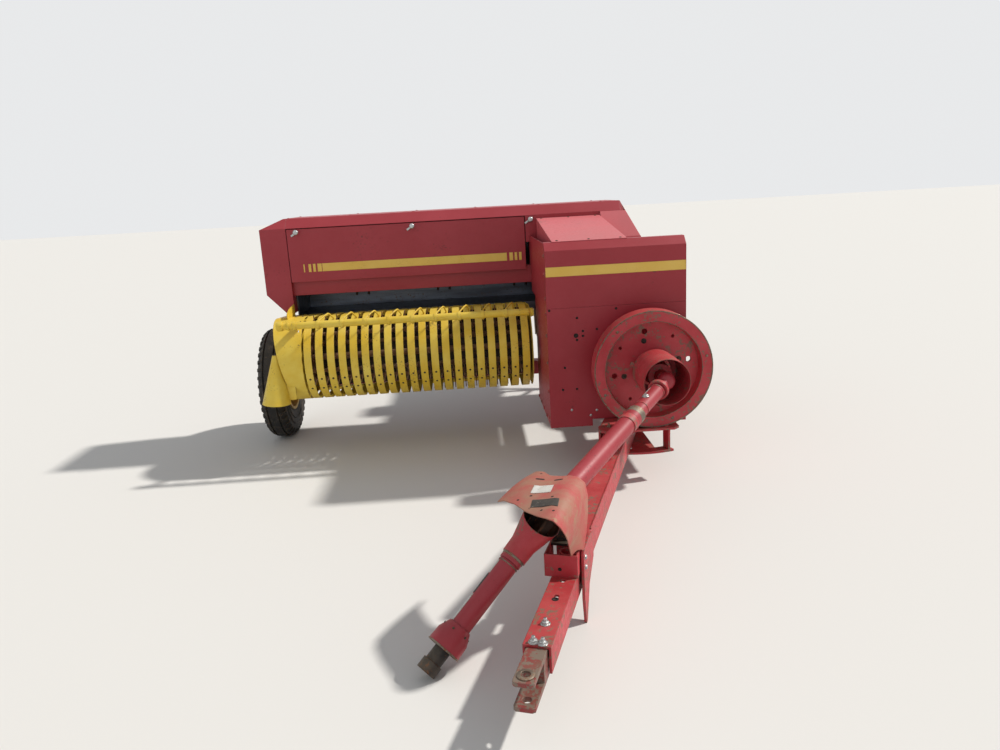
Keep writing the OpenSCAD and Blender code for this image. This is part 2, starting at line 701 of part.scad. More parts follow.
// Heavy rim, web with holes and hub with the drive joint's neck.
module flywheel() color(red) {
  r = fly_d / 2;
  translate([fly_x, 0, fly_z]) rotate([90, 0, 0]) difference() {
    union() {
      rotate_extrude($fn = 96) polygon([[0, -165], [30, -165], [30, 100], [70, 100], [90, 126],
        [r - fly_band, 126], [r - fly_band, fly_y - fly_rim], [r, fly_y - fly_rim], [r, fly_y],
        [r - fly_band, fly_y],
        [r - fly_band - 6, 142], [80, 142], [70, 180], [62, 330], [34, 334], [34, joint_y - 44],
        [0, joint_y - 44]]);
      for (k = [0:2]) rotate(k * 120 + 40) translate([99, 0, 134]) cylinder(h = 215 - 134, r = 9, $fn = 24);
    }
    for (k = [0:7]) rotate(k * 45 + 10) translate([198, 0, 100])
      cylinder(h = 60, r = k % 2 == 0 ? 15 : 9, $fn = 24);
  }
}

// Bell over the drive joint, screwed to the flywheel's studs.
module joint_guard() color(red) {
  mouth = 470;
  translate([fly_x, 0, fly_z]) rotate([90, 0, 0]) {
    rotate_extrude($fn = 64) polygon([[82, 215], [bell_r, 215], [bell_r + 2, 330], [bell_r, mouth],
      [bell_r - 3, mouth], [bell_r - 1, 330], [bell_r - 3, 218], [82, 218]]);
    for (k = [0:2]) rotate(k * 120 + 40) translate([99, 0, 216]) cylinder(h = 14, r = 11, $fn = 24);
  }
}

// Rear drive shaft in its guard tubes, from the flywheel joint to the cover.
module rear_shaft() color("indianred") {
  u = [fly_x, -joint_y, fly_z];
  v = [front_joint_x, -front_joint_y, front_joint_z] - u;
  l = norm(v) - 165;
  translate(u) rotate([0, acos(v[2] / norm(v)), atan2(v[1], v[0])]) {
    sphere(r = 43.7, $fn = 40);
    rotate_extrude($fn = 48) polygon([[0, 20], [24, 20], [24, 100], [46, 100], [46, 116], [35, 116], [35, 430],
      [43, 430], [43, 470], [41, 470], [41, l], [36, l], [36, l - 140], [17, l - 140], [17, l], [0, l]]);
  }
}

// Hollow beam from the pivot eye to the front end plate.
module tongue_beam() color(red) on_tongue() {
  w0 = tongue_w0;
  w1 = tongue_w1;
  z0 = tongue_z0;
  t = 8;
  difference() {
    union() {
      translate([0, 0, z0]) linear_extrude(tongue_h) {
        polygon([[-w0, 0], [w0, 0], [w0, -500], [w1, 110 - beam_len], [w1, -beam_len],
                 [-w1, -beam_len], [-w1, 110 - beam_len],
                 [-w0, -500]]);
        circle(r = w0, $fn = 48);
      }
      bx(-w1, w1, -beam_len - 10, -beam_len, z0 - 50, z0 + tongue_h);
    }
    translate([0, 0, z0 + t]) linear_extrude(tongue_h - 2 * t)
      polygon([[-w0 + t, -90], [w0 - t, -90], [w0 - t, -500], [w1 - t, 110 - beam_len], [w1 - t, -beam_len + 5],
               [-w1 + t, -beam_len + 5], [-w1 + t, 110 - beam_len], [-w0 + t, -500]]);
    bar_z(0, 0, 0, 400, 25 + run, 48);
    bx(-30, 30, -beam_len - 20, -beam_len + 20, z0 - 30, z0 + 20);
  }
  difference() {
    bx(-45, 45, -hitch_s + 136, -beam_len - 10, z0 - 45, z0 + 45);
    bx(-37, 37, -hitch_s + 100, -beam_len - 11, z0 - 60, z0 + 37);
    for (s = [1975, 2080, 2250]) bar_z(0, -s, z0, z0 + 60, 10, 24);
  }
}

// Two hitch plates on the block between the channel's legs.
module hitch_clevis() color("indianred") on_tongue() {
  z1 = tongue_z0 + 37;
  z0 = z1 - 28 - hitch_gap;
  for (z = [z0, z1 - 14]) translate([0, 0, z]) linear_extrude(14) difference() {
    union() {
      translate([-33, -hitch_s]) square([66, 240]);
      intersection() {
        translate([0, -hitch_s]) circle(r = eye_r, $fn = 48);
        translate([-33, -hitch_s - eye_cut]) square([66, 60]);
      }
    }
    translate([0, -hitch_s]) circle(r = hitch_r, $fn = 48);
  }
  bx(-33, 33, -hitch_s + 85, -hitch_s + 240, z0 + 14, z1 - 14);
  for (s = [150, 225]) for (x = [-37, 33]) bx(x, x + 4, -hitch_s + s - 10, -hitch_s + s + 10, z1 - 60, z1 - 30);
}

// Socket bracket and pointed stand plate on the tongue.
module tongue_brackets() {
  socket_bracket();
  stand_plate();
}
// Folded bracket with a round upright socket, on top of the channel.
module socket_bracket() color(red) on_tongue() {
  z0 = tongue_z0 + 45;
  s0 = beam_len + 50;
  difference() {
    union() {
      bx(-70, 50, -s0 - 100, -s0 - 94, z0, z0 + 85);
      for (x = [-70, 44]) bx(x, x + 6, -s0 - 94, -s0 + 30, z0, z0 + 85);
      bar_z(8, -s0 - 62, z0, z0 + 85, 30, 40);
      bx(30, 44, -s0 - 72, -s0 - 52, z0, z0 + 80);
    }
    bar_z(8, -s0 - 62, z0 - 1, z0 + 100, 24, 40);
    bar_y(-14, -s0 - 110, -s0 - 80, z0 + 30, 6, 24);
  }
}

// Pointed plate on the side of the tongue, on which it stands when parked.
module stand_plate() color(red) on_tongue() {
  translate([0, -beam_len, 0]) prof(tongue_w1, tongue_w1 + 10)
    polygon([[100, 182], [100, 280], [40, 300], [-90, 300], [-105, 280], [-105, 110], [-80, 0], [-62, 0],
             [0, 120]]);
}

// Curved sheet cover over the front drive joint, on a post from the tongue.
module joint_cover() color("indianred") {
  j = [front_joint_x, -front_joint_y, front_joint_z];
  translate(j) rotate([0, 0, -34]) translate([0, -30, 0]) rotate([90, 0, 180]) linear_extrude(235)
    fold([for (k = [len(cover_line) - 1:-1:0]) cover_line[k]], -sheet);
}
// Section of the cover: sideways, height above the joint.
cover_line = [[190, 38], [160, 62], [120, 78], [80, 86], [45, 96], [10, 98], [-35, 96], [-75, 76], [-100, 30],
  [-108, -30], [-108, tongue_z0 + 130 - front_joint_z]];

// Bearing stand and hinge knuckle of the front drive joint.
module front_joint() color("dimgray") {
  j = [front_joint_x, -front_joint_y, front_joint_z];
  translate(j) rotate([0, 0, -half_turn]) {
    bar_x(-46, 46, 0, 0, 12, 32);
    bar_x(-28, 28, 0, 0, 24, 32);
    bx(-20, 20, 0, 60, -20, 20);
  }
  translate(j) rotate([0, 0, -swing]) {
    bx(0, 60, 48, 60, -front_joint_z + tongue_z0 + tongue_h, 30);
    bx(0, 60, 20, 90, -front_joint_z + tongue_z0 + tongue_h, -front_joint_z + tongue_z0 + tongue_h + 10);
  }
}

// Front drive shaft in its guard, lying with its end on the ground.
module at_half() {
  translate([front_joint_x, -front_joint_y, front_joint_z])
    rotate([0, 0, -half_turn]) rotate([half_slope, 0, 0]) children();
}
module half_shaft() color(red) at_half() {
  for (x = [-44, 34]) difference() {
    union() {
      bx(x, x + 10, -60, 0, -20, 20);
      bar_x(x, x + 10, 0, 0, 20, 32);
    }
    bar_x(x - 1, x + 11, 0, 0, 12 + run, 32);
  }
  rotate([90, 0, 0]) {
    translate([0, 0, 55]) cylinder(h = 80, r = 44, $fn = 40);
    translate([0, 0, 100]) cylinder(h = 130, r = 31, $fn = 40);
    translate([0, 0, 215]) cylinder(h = 14, r = 41, $fn = 40);
    translate([0, 0, 225]) cylinder(h = 325, r = 37, $fn = 40);
    rotate_extrude($fn = 48) polygon([[40, 120], [48, 120], [68, 62], [68, 40], [65, 40], [65, 60]]);
    rotate_extrude($fn = 48)
      polygon([[36, 500], [42, 500], [60, 540], [62, 590], [58, 590], [56, 544], [36, 515]]);
  }
}

module drive_yoke() color("dimgray") at_half() rotate([90, 0, 0]) difference() {
  union() {
    translate([0, 0, 550]) cylinder(h = joint_s_end - 550, r = 30, $fn = 40);
    translate([0, 0, joint_s_end - 40]) cylinder(h = 40, r = 36, $fn = 40);
  }
  translate([0, 0, joint_s_end - 80]) cylinder(h = 81, r = 17.5, $fn = 48);
}

// Cross bars that carry the strippers, and the reel's bearings.
module pickup_bars() color(yellow) {
  top_y = bar_top_y + 30;
  low_y = bar_low_y + 30;
  low_z = bar_low_z - sheet;
  top_slope = (26 - sheet) / (top_y - reel_y);
  low_slope = (low_z - reel_z + strip_r) / (low_y - reel_y);
  prof(side_out_x + side_t, side_in_x) polygon([[bar_top_y, strip_top - 53], [top_y, strip_top - 53],
    [top_y, strip_top - 26], [bar_top_y, strip_top - 26 + 30 * top_slope]]);
  prof(side_out_x + side_t, side_in_x) polygon([[bar_low_y, bar_low_z - 25], [low_y, bar_low_z - 25],
    [low_y, low_z], [bar_low_y, low_z - 30 * low_slope]]);
}

// Outline of an end sheet round the reel, with its arm back to the pivot.
module side_outline() {
  inner_r = strip_r - sheet - seat;
  difference() {
    union() {
      intersection() {
        translate([reel_y, reel_z]) circle(r = inner_r, $fn = 72);
        translate([reel_y - 300, reel_z - 300]) square([300.5, 600]);
      }
      polygon([[reel_y, reel_z - inner_r], [bar_low_y + 24, bar_low_z + seat], [bar_low_y + 62, 480],
               [axle_y - 34, lift_z - 30], [axle_y - 20, lift_z + 34], [bar_top_y + 32, 788],
               [bar_top_y + 30, strip_top - 26 - seat], [reel_y, reel_z + inner_r]]);
      translate([axle_y, lift_z]) circle(r = 34, $fn = 40);
    }
    translate([axle_y, lift_z]) circle(r = 15 + run, $fn = 32);
    translate([reel_y, reel_z]) circle(r = 20 + run, $fn = 32);
  }
}
module pickup_sides() color(yellow) {
  prof(side_out_x, side_out_x + side_t) side_outline();
  prof(side_in_x, side_in_x + side_t) side_outline();
}

// Side view of one stripper: round front, straight top and bottom.
module strip_outline() {
  difference() {
    translate([reel_y, reel_z]) circle(r = strip_r, $fn = 72);
    translate([reel_y, reel_z]) circle(r = strip_r - sheet, $fn = 72);
    translate([reel_y, reel_z - 300]) square([300, 600]);
  }
  polygon([[reel_y - 1, strip_top - sheet], [reel_y, strip_top - sheet], [bar_top_y + 30, strip_top - 26],
           [bar_top_y + 30, strip_top - 23], [reel_y, strip_top], [reel_y - 1, strip_top]]);
  polygon([[reel_y - 1, reel_z - strip_r], [reel_y, reel_z - strip_r], [bar_low_y + 30, bar_low_z - sheet],
           [bar_low_y + 30, bar_low_z], [reel_y, reel_z - strip_r + sheet],
           [reel_y - 1, reel_z - strip_r + sheet]]);
}

module strippers() color(yellow) {
  for (i = [0:strip_n - 1]) {
    x = strip_x0 + i * pitch;
    prof(x - strip_w / 2, x + strip_w / 2) strip_outline();
  }
}

// Pipe with its bent rods and end arms.
module wind_guard() color(yellow) {
  y = 400;
  z = 868;
  r = guard_d / 2;
  bar_x(seam_x, side_in_x - 24, y, z, r, 32);
  bar_x(side_in_x - 29, side_in_x + side_t + 6, y, z, 12, 32);
  for (x = [side_out_x - 6, side_in_x + side_t]) prof(x, x + 6)
    polygon([[y - 20, z + 12], [y - 14, z - 22], [reel_y - 60, 800], [reel_y - 20, 800], [reel_y - 20, 850],
             [y + 30, z + 18]]);
  for (i = [0:2:strip_n - 1]) {
    x = strip_x0 + i * pitch;
    rod([x - 40, y, z + 8], [x + 35, 560, 950], 5, 8);
    rod([x + 35, 560, 950], [x + 80, 900, 925], 5, 8);
    translate([x + 35, 560, 950]) sphere(r = 5, $fn = 16);
  }
}

// Flared outer sheet, round nose and guide plate outside the pickup's end sheet.
module divider() color(yellow) {
  nose = [-1970, 470, 395];
  difference() {
    prof(-1968, strip_x0 - strip_w / 2 - 12) strip_outline();
    face(300, 1100) polygon([[-1990, 960], [-1970, 880], [-1876, 400], [-1876, 300], [-1990, 300]]);
    bx(side_out_x - 6, side_out_x, 520, 612, 805, 880);
  }
  translate(nose) rotate([0, 4.8, 0]) rotate(180) rotate_extrude(angle = 180, $fn = 48)
    polygon([[82, 0], [85, 0], [18, 295], [15, 295]]);
  face(470, 474) polygon([[-2053, 398], [-1850, 412], [-1850, 520], [-1925, 690], [-1962, 690]]);
  prof(-1893, -1890) polygon([[640, strip_top - 2], [640, 905], [700, 925], [862, 938], [862, strip_top - 17]]);
}

// Shaft with end discs, tine bars and a tine in each gap between strippers.
module tine_reel() color("dimgray") translate([0, reel_y, reel_z]) {
  bar_x(side_out_x - 6, side_in_x + side_t + 6, 0, 0, 20, 32);
  for (x = [reel_x0, reel_x1 - 6]) bar_x(x, x + 6, 0, 0, bar_r + 18, 48);
  for (k = [0:bar_n - 1]) rotate([k * 360 / bar_n + 20, 0, 0]) {
    bar_x(reel_x0, reel_x1, 0, bar_r, 12, 12);
    for (i = [0:strip_n - 2]) {
      x = strip_x0 + (i + 0.5) * pitch;
      rod([x, 0, bar_r], [x, -18, bar_r + 60], 3.5, 6);
      rod([x, -18, bar_r + 60], [x, -10, tip_r - 1], 3.5, 6);
    }
  }
}

translate([-(lo_x + hi_x) / 2, -(lo_y + hi_y) / 2, 0]) {
  main_frame();
  swing_bracket();
  case_floor();
  case_left_wall();
  case_right_wall();
  case_top();
  bale_tension();
  plunger_crank();
  gearbox();
  upper_shield();
  lower_shield();
  side_shields();
  hood();
  feeder_top();
  feeder_outer_end();
  feeder_trough();
  feeder_beam();
  feeder_tines();
  knotters();
  twine_box();
  feeder_shield();
  knotter_cover();
  twine_lid();
  needles();
  metering_wheel();
  outer_rim();
  outer_tyre();
  inner_rim();
  inner_tyre();
  flywheel();
  joint_guard();
  rear_shaft();
  tongue_beam();
  hitch_clevis();
  tongue_brackets();
  joint_cover();
  front_joint();
  half_shaft();
  drive_yoke();
  pickup_bars();
  pickup_sides();
  strippers();
  wind_guard();
  divider();
  tine_reel();
}
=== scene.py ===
import random
from math import copysign, cos, hypot, pi, radians, sin

import bmesh
import bpy
from bpy.props import FloatProperty, FloatVectorProperty, IntProperty, PointerProperty
from mathutils import Matrix, Vector
from mathutils.bvhtree import BVHTree


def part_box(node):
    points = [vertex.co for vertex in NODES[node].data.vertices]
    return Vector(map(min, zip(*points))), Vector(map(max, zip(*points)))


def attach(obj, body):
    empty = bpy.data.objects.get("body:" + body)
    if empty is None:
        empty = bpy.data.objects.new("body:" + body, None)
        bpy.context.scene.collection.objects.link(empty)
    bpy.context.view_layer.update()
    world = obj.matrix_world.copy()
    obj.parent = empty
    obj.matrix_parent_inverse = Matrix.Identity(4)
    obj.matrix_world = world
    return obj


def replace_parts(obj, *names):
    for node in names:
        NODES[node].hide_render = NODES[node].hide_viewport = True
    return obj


bl_info = {
    "name": "Square baler",
    "version": (1, 0, 0),
    "blender": (4, 5, 0),
    "location": "3D View > Sidebar > Baler",
    "description": "Finishes, fasteners and small pieces of a pull-type square baler",
    "category": "Object",
}

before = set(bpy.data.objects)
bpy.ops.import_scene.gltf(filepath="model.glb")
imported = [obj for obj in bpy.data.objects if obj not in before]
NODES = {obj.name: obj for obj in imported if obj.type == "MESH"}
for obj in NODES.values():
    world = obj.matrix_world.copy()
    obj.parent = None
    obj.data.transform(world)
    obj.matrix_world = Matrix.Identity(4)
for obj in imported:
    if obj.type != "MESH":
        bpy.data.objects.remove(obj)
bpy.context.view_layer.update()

MM = 0.001
FRONT_LOW, FRONT_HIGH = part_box("upper_shield")
SHIFT = Vector(((FRONT_LOW.x + FRONT_HIGH.x) / 2, FRONT_LOW.y, 0))
X, Y, Z = Vector((1, 0, 0)), Vector((0, 1, 0)), Vector((0, 0, 1))


def P(x, y, z):
    """A point of the machine, in millimetres, as a point of the frame in metres."""
    return Vector((x, y, z)) * MM + SHIFT


def linear(code):
    """An sRGB hex value as three linear numbers."""
    parts = [int(code[i:i + 2], 16) / 255 for i in (0, 2, 4)]
    return tuple(c / 12.92 if c <= 0.04045 else ((c + 0.055) / 1.055) ** 2.4 for c in parts)


# Places on the machine that several pieces share, in millimetres.
FEEDER_FACE, FEEDER_TOP, FEEDER_BACK = 870, 1465, 1390
SHIELD_SIDE = 375
SEAM_X = -1894
FLY = (150, 618)
FLY_FACE = -200
STRIP_X0, PITCH, STRIPS, STRIP_R = -1753, 68, 20, 255
REEL = (690, 620)
BAR_R, BARS = 160, 4
PIPE, PIPE_R, PIN_X, PIN_R = (400, 868), 21, -445, 12
WHEELS = {"outer_wheel": (-2095, -1), "inner_wheel": (440, 1)}
AXLE_Y, TYRE_R, TYRE_W, RIM_R = 1150, 370, 160, 180
PIVOT = (115, 300)
SWING = radians(18.62)
CHANNEL_TOP = 215
HITCH_S = 2511
FRONT_JOINT, REAR_JOINT = Vector((-545, -1460, 430)), Vector((150, -440, 618))
HALF_TURN, HALF_SLOPE = radians(56), radians(36)
FRONT_GUARD_R, REAR_GUARD_R = 37, 35
CASE = 233.5
SCREW_Y = 2700
KNOTTER = (1805, 1310)


# Finishes

# How far rubbed edges reach, in metres.
EDGE_REACH = 0.004


def add(tree, kind, props=None, inputs=None, stops=None):
    """Adds a shader node, sets its properties and inputs, links sockets and fills its stops."""
    n = tree.nodes.new("ShaderNode" + kind)
    for key, value in (props or {}).items():
        setattr(n, key, value)
    for key, value in (inputs or {}).items():
        if isinstance(value, bpy.types.NodeSocket):
            tree.links.new(value, n.inputs[key])
        else:
            n.inputs[key].default_value = value
    if stops:
        ramp = n.color_ramp
        while len(ramp.elements) < len(stops):
            ramp.elements.new(0.5)
        for element, (place, value) in zip(ramp.elements, stops):
            element.position = place
            element.color = (*value, 1) if isinstance(value, tuple) else (value, value, value, 1)
    return n


def noise(tree, place, width, detail, roughness=0.5):
    """Noise whose features are about this many millimetres wide."""
    return add(tree, "TexNoise", inputs={"Vector": place, "Scale": 1000 / width, "Detail": detail,
                                         "Roughness": roughness}).outputs["Fac"]


def maths(tree, operation, *values, clamp=False):
    """What a Math node makes of sockets and numbers."""
    return add(tree, "Math", {"operation": operation, "use_clamp": clamp},
               dict(enumerate(values))).outputs[0]


def laid_over(tree, mask, below, code):
    """A hex colour laid over another where a mask is bright; 6 and 7 are Mix's colours."""
    return add(tree, "Mix", {"data_type": "RGBA"},
               {0: mask, 6: below, 7: (*linear(code), 1)}).outputs[2]


def finish_of(name, base, second, wear, worn=0.1, patch=260, chip=14, rough=(0.35, 0.55), metal=0.0,
              grain=1.2, bump=0.15, dust=0.25, streak=(1, 1, 1), edge=0.5, dust_colour="A8967A"):
    """A weathered surface: two colours in patches, worn spots and edges, and dust on top.

    patch, chip and grain are the widths in millimetres of the colour patches, the worn
    spots and the fine texture; streak stretches the patches along the axes.
    """
    mat = bpy.data.materials.new(name)
    mat.use_nodes = True
    tree = mat.node_tree
    tree.nodes.clear()
    out = add(tree, "OutputMaterial")
    place = add(tree, "TexCoord").outputs["Object"]
    stretched = add(tree, "Mapping", inputs={"Vector": place, "Scale": streak}).outputs[0]
    patches = noise(tree, stretched, patch, 5, 0.6)
    colour = add(tree, "ValToRGB", inputs={0: patches},
                 stops=[(0.38, linear(base)), (0.68, linear(second))]).outputs[0]
    spots = noise(tree, place, chip, 6, 0.7)
    area = noise(tree, place, patch * 0.7, 2)
    both = maths(tree, "MULTIPLY_ADD", area, 0.5, spots)
    rounded = add(tree, "Bevel", {"samples": 4}, {"Radius": EDGE_REACH}).outputs[0]
    shape = add(tree, "NewGeometry").outputs["Normal"]
    turn = add(tree, "VectorMath", {"operation": "DOT_PRODUCT"}, {0: rounded, 1: shape})
    rim = maths(tree, "MULTIPLY_ADD", turn.outputs["Value"], -edge, edge, clamp=True)
    total = maths(tree, "ADD", both, rim)
    # Wear shows where spots and rims pass a limit, which falls as the surface is more worn.
    limit, soft = 0.98 - 0.3 * worn, 0.02
    mask = add(tree, "ValToRGB", inputs={0: total},
               stops=[(limit - soft, 0.0), (min(limit + soft, 1), 1.0)]).outputs[0]
    mixed = laid_over(tree, mask, colour, wear)
    normal = add(tree, "TexCoord").outputs["Normal"]
    up = add(tree, "SeparateXYZ", inputs={0: normal}).outputs["Z"]
    settled = add(tree, "MapRange", inputs={0: up, 1: 0.35, 2: 1.0, 3: 0.0, 4: dust}).outputs[0]
    speckle = maths(tree, "MULTIPLY", settled, patches, clamp=True)
    top = laid_over(tree, speckle, mixed, dust_colour)
    roughness = add(tree, "MapRange", inputs={0: spots, 1: 0.3, 2: 0.7, 3: rough[0], 4: rough[1]})
    fine = noise(tree, place, grain, 3)
    height = maths(tree, "MULTIPLY_ADD", mask, -0.6, fine)
    relief = add(tree, "Bump", inputs={"Strength": bump, "Distance": MM, "Height": height,
                                       "Normal": rounded})
    shader = add(tree, "BsdfPrincipled",
                 inputs={"Base Color": top, "Roughness": roughness.outputs[0], "Metallic": metal,
                         "Normal": relief.outputs[0]})
    tree.links.new(shader.outputs[0], out.inputs[0])


# Each finish: colours as sRGB hex, then its wear and its real sizes.
FINISHES = {
    # Alkyd enamel sprayed on pressed sheet: even and satin, slightly chalked in wide patches.
    "enamel_red_sprayed": dict(
        base="96202B", second="A02C37", wear="5E2423", worn=0.02, patch=420, dust=0.03),
    # The same enamel, paler and pinker, on the up-facing hood: the paleness and its pink dust are a
    # painted sheen of light on faces that look up. Duller too.
    "enamel_red_painted_sheen": dict(
        base="C4525A", second="B5434C", wear="7A3A36", worn=0.2, patch=300, rough=(0.5, 0.7),
        dust=0.35, dust_colour="D8A9A4"),
    # The same enamel rubbed and chipped on moving and trodden pieces: brown steel at the edges.
    "enamel_red_worn": dict(
        base="A8242E", second="B83A42", wear="7C5A4C", worn=0.5, patch=160, chip=18,
        rough=(0.35, 0.65), dust=0.15, edge=0.9),
    # The same enamel scraped off the hitch by pins and drawbars: brown steel, islands of red.
    "enamel_red_stripped": dict(
        base="8E2C30", second="7A4A40", wear="7B6A5E", worn=0.8, patch=60, chip=14,
        rough=(0.35, 0.6), metal=0.3, dust=0.2, edge=0.9),
    # Sheet whose enamel has mostly gone: matt rust with islands of red.
    "sheet_rusted": dict(
        base="A0705C", second="B2343C", wear="A07A60", worn=0.3, patch=130, chip=20,
        rough=(0.5, 0.75), dust=0.1, grain=0.8, bump=0.2),
    # Yellow enamel sprayed on springy strip, scuffed by straw along its length.
    "enamel_yellow_sprayed": dict(
        base="DDB82C", second="E6CB52", wear="7A5F33", worn=0.2, patch=180, chip=9,
        rough=(0.35, 0.6), dust=0.2, edge=0.8),
    # Yellow enamel on wheels: dirtied by mud thrown up.
    "enamel_yellow_muddy": dict(
        base="C9A22E", second="A98A3C", wear="6A5230", worn=0.5, patch=90, chip=12,
        rough=(0.5, 0.75), dust=0.4),
    # Sheet steel rubbed bright by passing crop, streaked along the feeder.
    "steel_crop_polished": dict(
        base="4A4F58", second="6B7380", wear="5B4A3E", worn=0.25, patch=60, rough=(0.25, 0.45),
        metal=0.9, streak=(0.12, 1, 1), dust=0.15, edge=0.2),
    # Forged and welded steel, dark with oil and old dust; also the painted shade of the pickup's
    # back sheet and of the front guard's lining.
    "steel_oiled_dark_and_painted_shade": dict(
        base="2E2A28", second="4A4038", wear="6E4A32", worn=0.35, patch=70, chip=10,
        rough=(0.4, 0.7), metal=0.6, dust=0.35),
    # Spring steel wire, rusted brown where the crop doesn't rub it.
    "steel_spring_rusted": dict(
        base="6A4A35", second="8B6B4E", wear="A08C74", worn=0.3, patch=60, chip=8,
        rough=(0.45, 0.7), metal=0.4, dust=0.2),
    # Bare machined steel, gone grey-brown in the open.
    "steel_bare_weathered": dict(
        base="6C6258", second="8A7B6C", wear="7A4E36", worn=0.45, patch=50, chip=8,
        rough=(0.4, 0.65), metal=0.7, dust=0.2),
    # Zinc-plated fasteners: pale grey, slightly dulled.
    "steel_zinc_plated": dict(
        base="B9BCBC", second="9C9F9E", wear="7F7466", worn=0.15, patch=12, chip=3,
        rough=(0.3, 0.5), metal=0.9, bump=0.08, dust=0.1),
    # Grey iron casting under dark red paint: sand-cast grain, oily dust.
    "iron_cast_painted": dict(
        base="6E1C20", second="4E1A1B", wear="3B2A24", worn=0.4, patch=80, chip=16,
        rough=(0.45, 0.7), grain=2.5, bump=0.45, dust=0.35),
    # Vulcanised black rubber, grey-brown with dry soil on the tread.
    "rubber_vulcanised": dict(
        base="1D1C1B", second="2A2724", wear="5A5044", worn=0.45, patch=60, chip=6,
        rough=(0.7, 0.9), dust=0.5, grain=0.9, edge=0.7, dust_colour="6E6353"),
    # Cast vinyl film, smooth and slightly cracked by the sun.
    "vinyl_stripe_gold": dict(
        base="DDB64C", second="E2C05E", wear="B9923C", worn=0.15, patch=200, chip=5,
        rough=(0.35, 0.5), bump=0.05, dust=0.05),
    # Blank paper-backed label, faded white.
    "label_blank_white": dict(
        base="D8D6D0", second="C9C5BC", wear="9A8F80", worn=0.3, patch=30, chip=4, rough=(0.5, 0.7),
        bump=0.05, dust=0.1),
    # Printed black field of a blank label.
    "label_blank_black": dict(
        base="1E1D1D", second="2B2A29", wear="6A645C", worn=0.3, patch=30, chip=4, rough=(0.5, 0.7),
        bump=0.05, dust=0.1),
    # Painted shade for the unlit inside of an open bolt hole or slot, over dirty bare steel: near
    # black.
    "hole_painted_shade": dict(
        base="120E0D", second="1C1512", wear="2B1D17", worn=0.3, patch=8, chip=3, rough=(0.8, 0.95),
        bump=0.05, dust=0.0),
}
DRESSED = {
    "enamel_red_sprayed": (
        "main_frame upper_shield lower_shield side_shields feeder_top feeder_outer_end "
        "feeder_shield case_left_wall case_right_wall case_top case_floor twine_box twine_lid "
        "knotter_cover feeder_beam half_shaft rear_shaft"),
    # The hood's paler copy of the enamel is a painted sheen of light.
    "enamel_red_painted_sheen": "hood",
    "enamel_red_worn": "swing_bracket flywheel joint_guard tongue_beam tongue_brackets",
    "enamel_red_stripped": "hitch_clevis",
    "sheet_rusted": "joint_cover",
    "enamel_yellow_sprayed": "pickup_bars pickup_sides strippers wind_guard divider",
    "enamel_yellow_muddy": "outer_rim inner_rim",
    "steel_crop_polished": "feeder_trough",
    "steel_oiled_dark_and_painted_shade": "plunger_crank feeder_tines front_joint drive_yoke",
    "steel_spring_rusted": "tine_reel",
    "steel_bare_weathered": "bale_tension needles metering_wheel",
    "iron_cast_painted": "gearbox knotters",
    "rubber_vulcanised": "outer_tyre inner_tyre",
}


def finish(name):
    return bpy.data.materials[name]


# Shapes

def piece(name, bm, material, body, angle=35):
    """Turns a bmesh into a piece with its finish, riding on its body."""
    bmesh.ops.recalc_face_normals(bm, faces=bm.faces)
    mesh = bpy.data.meshes.new(name)
    bm.to_mesh(mesh)
    bm.free()
    mesh.materials.append(finish(material))
    for face in mesh.polygons:
        face.use_smooth = True
    mesh.set_sharp_from_angle(angle=radians(angle))
    ob = bpy.data.objects.new(name, mesh)
    bpy.context.scene.collection.objects.link(ob)
    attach(ob, body)
    return ob


def basis(axis):
    """Two unit vectors square to an axis and to each other."""
    axis = axis.normalized()
    side = axis.cross(Z if abs(axis.z) < 0.9 else X).normalized()
    return side, axis.cross(side)


def around(count, start=0.0):
    """The equal angles of a full turn."""
    return [start + 2 * pi * k / count for k in range(count)]


def spoke(angle):
    """A unit vector square to X, as the wheels and the reel turn."""
    return Vector((0, cos(angle), sin(angle)))


def join(bm, rows, closed=True):
    """Faces between rows of vertices, which close into rings or stay open."""
    for a, b in zip(rows, rows[1:]):
        count = len(a)
        for k in range(count if closed else count - 1):
            bm.faces.new((a[k], a[(k + 1) % count], b[(k + 1) % count], b[k]))


def sweep(bm, outlines):
    """A closed solid through a row of outlines, each a list of points in metres."""
    rings = [[bm.verts.new(p) for p in outline] for outline in outlines]
    join(bm, rings)
    for ring in (rings[0], rings[-1]):
        bm.faces.new(ring)


def lathe(bm, profile, at, axis, steps, turn=0.0):
    """Revolves a profile of (radius, height) in millimetres about an axis through a point.

    A profile that leaves the axis at both ends is closed into a ring, and one that leaves it
    at one end is capped there.
    """
    side, other = basis(axis)
    axis = axis.normalized()
    angles = around(steps, turn)
    rings = []
    for r, h in profile:
        turned = angles if r > 0.01 else angles[:1]
        rings.append([bm.verts.new(at + ((side * cos(a) + other * sin(a)) * r + axis * h) * MM)
                      for a in turned])
    pairs = list(zip(rings, rings[1:]))
    open_ends = [ring for ring in (rings[0], rings[-1]) if len(ring) > 1]
    if len(open_ends) == 2:
        pairs.append((rings[-1], rings[0]))
    else:
        for ring in open_ends:
            bm.faces.new(ring)
    for a, b in pairs:
        for k in range(steps):
            corners = (a[k % len(a)], a[(k + 1) % len(a)], b[(k + 1) % len(b)], b[k % len(b)])
            bm.faces.new(list(dict.fromkeys(corners)))


def tube(bm, points, radius, steps=8):
    """A round bar swept along points in metres, closed at both ends."""
    outlines = []
    for i, p in enumerate(points):
        ahead = (points[min(i + 1, len(points) - 1)] - points[max(i - 1, 0)]).normalized()
        side = (side - ahead * side.dot(ahead)).normalized() if i else basis(ahead)[0]
        other = ahead.cross(side)
        outlines.append([p + (side * cos(t) + other * sin(t)) * radius * MM for t in around(steps)])
    sweep(bm, outlines)


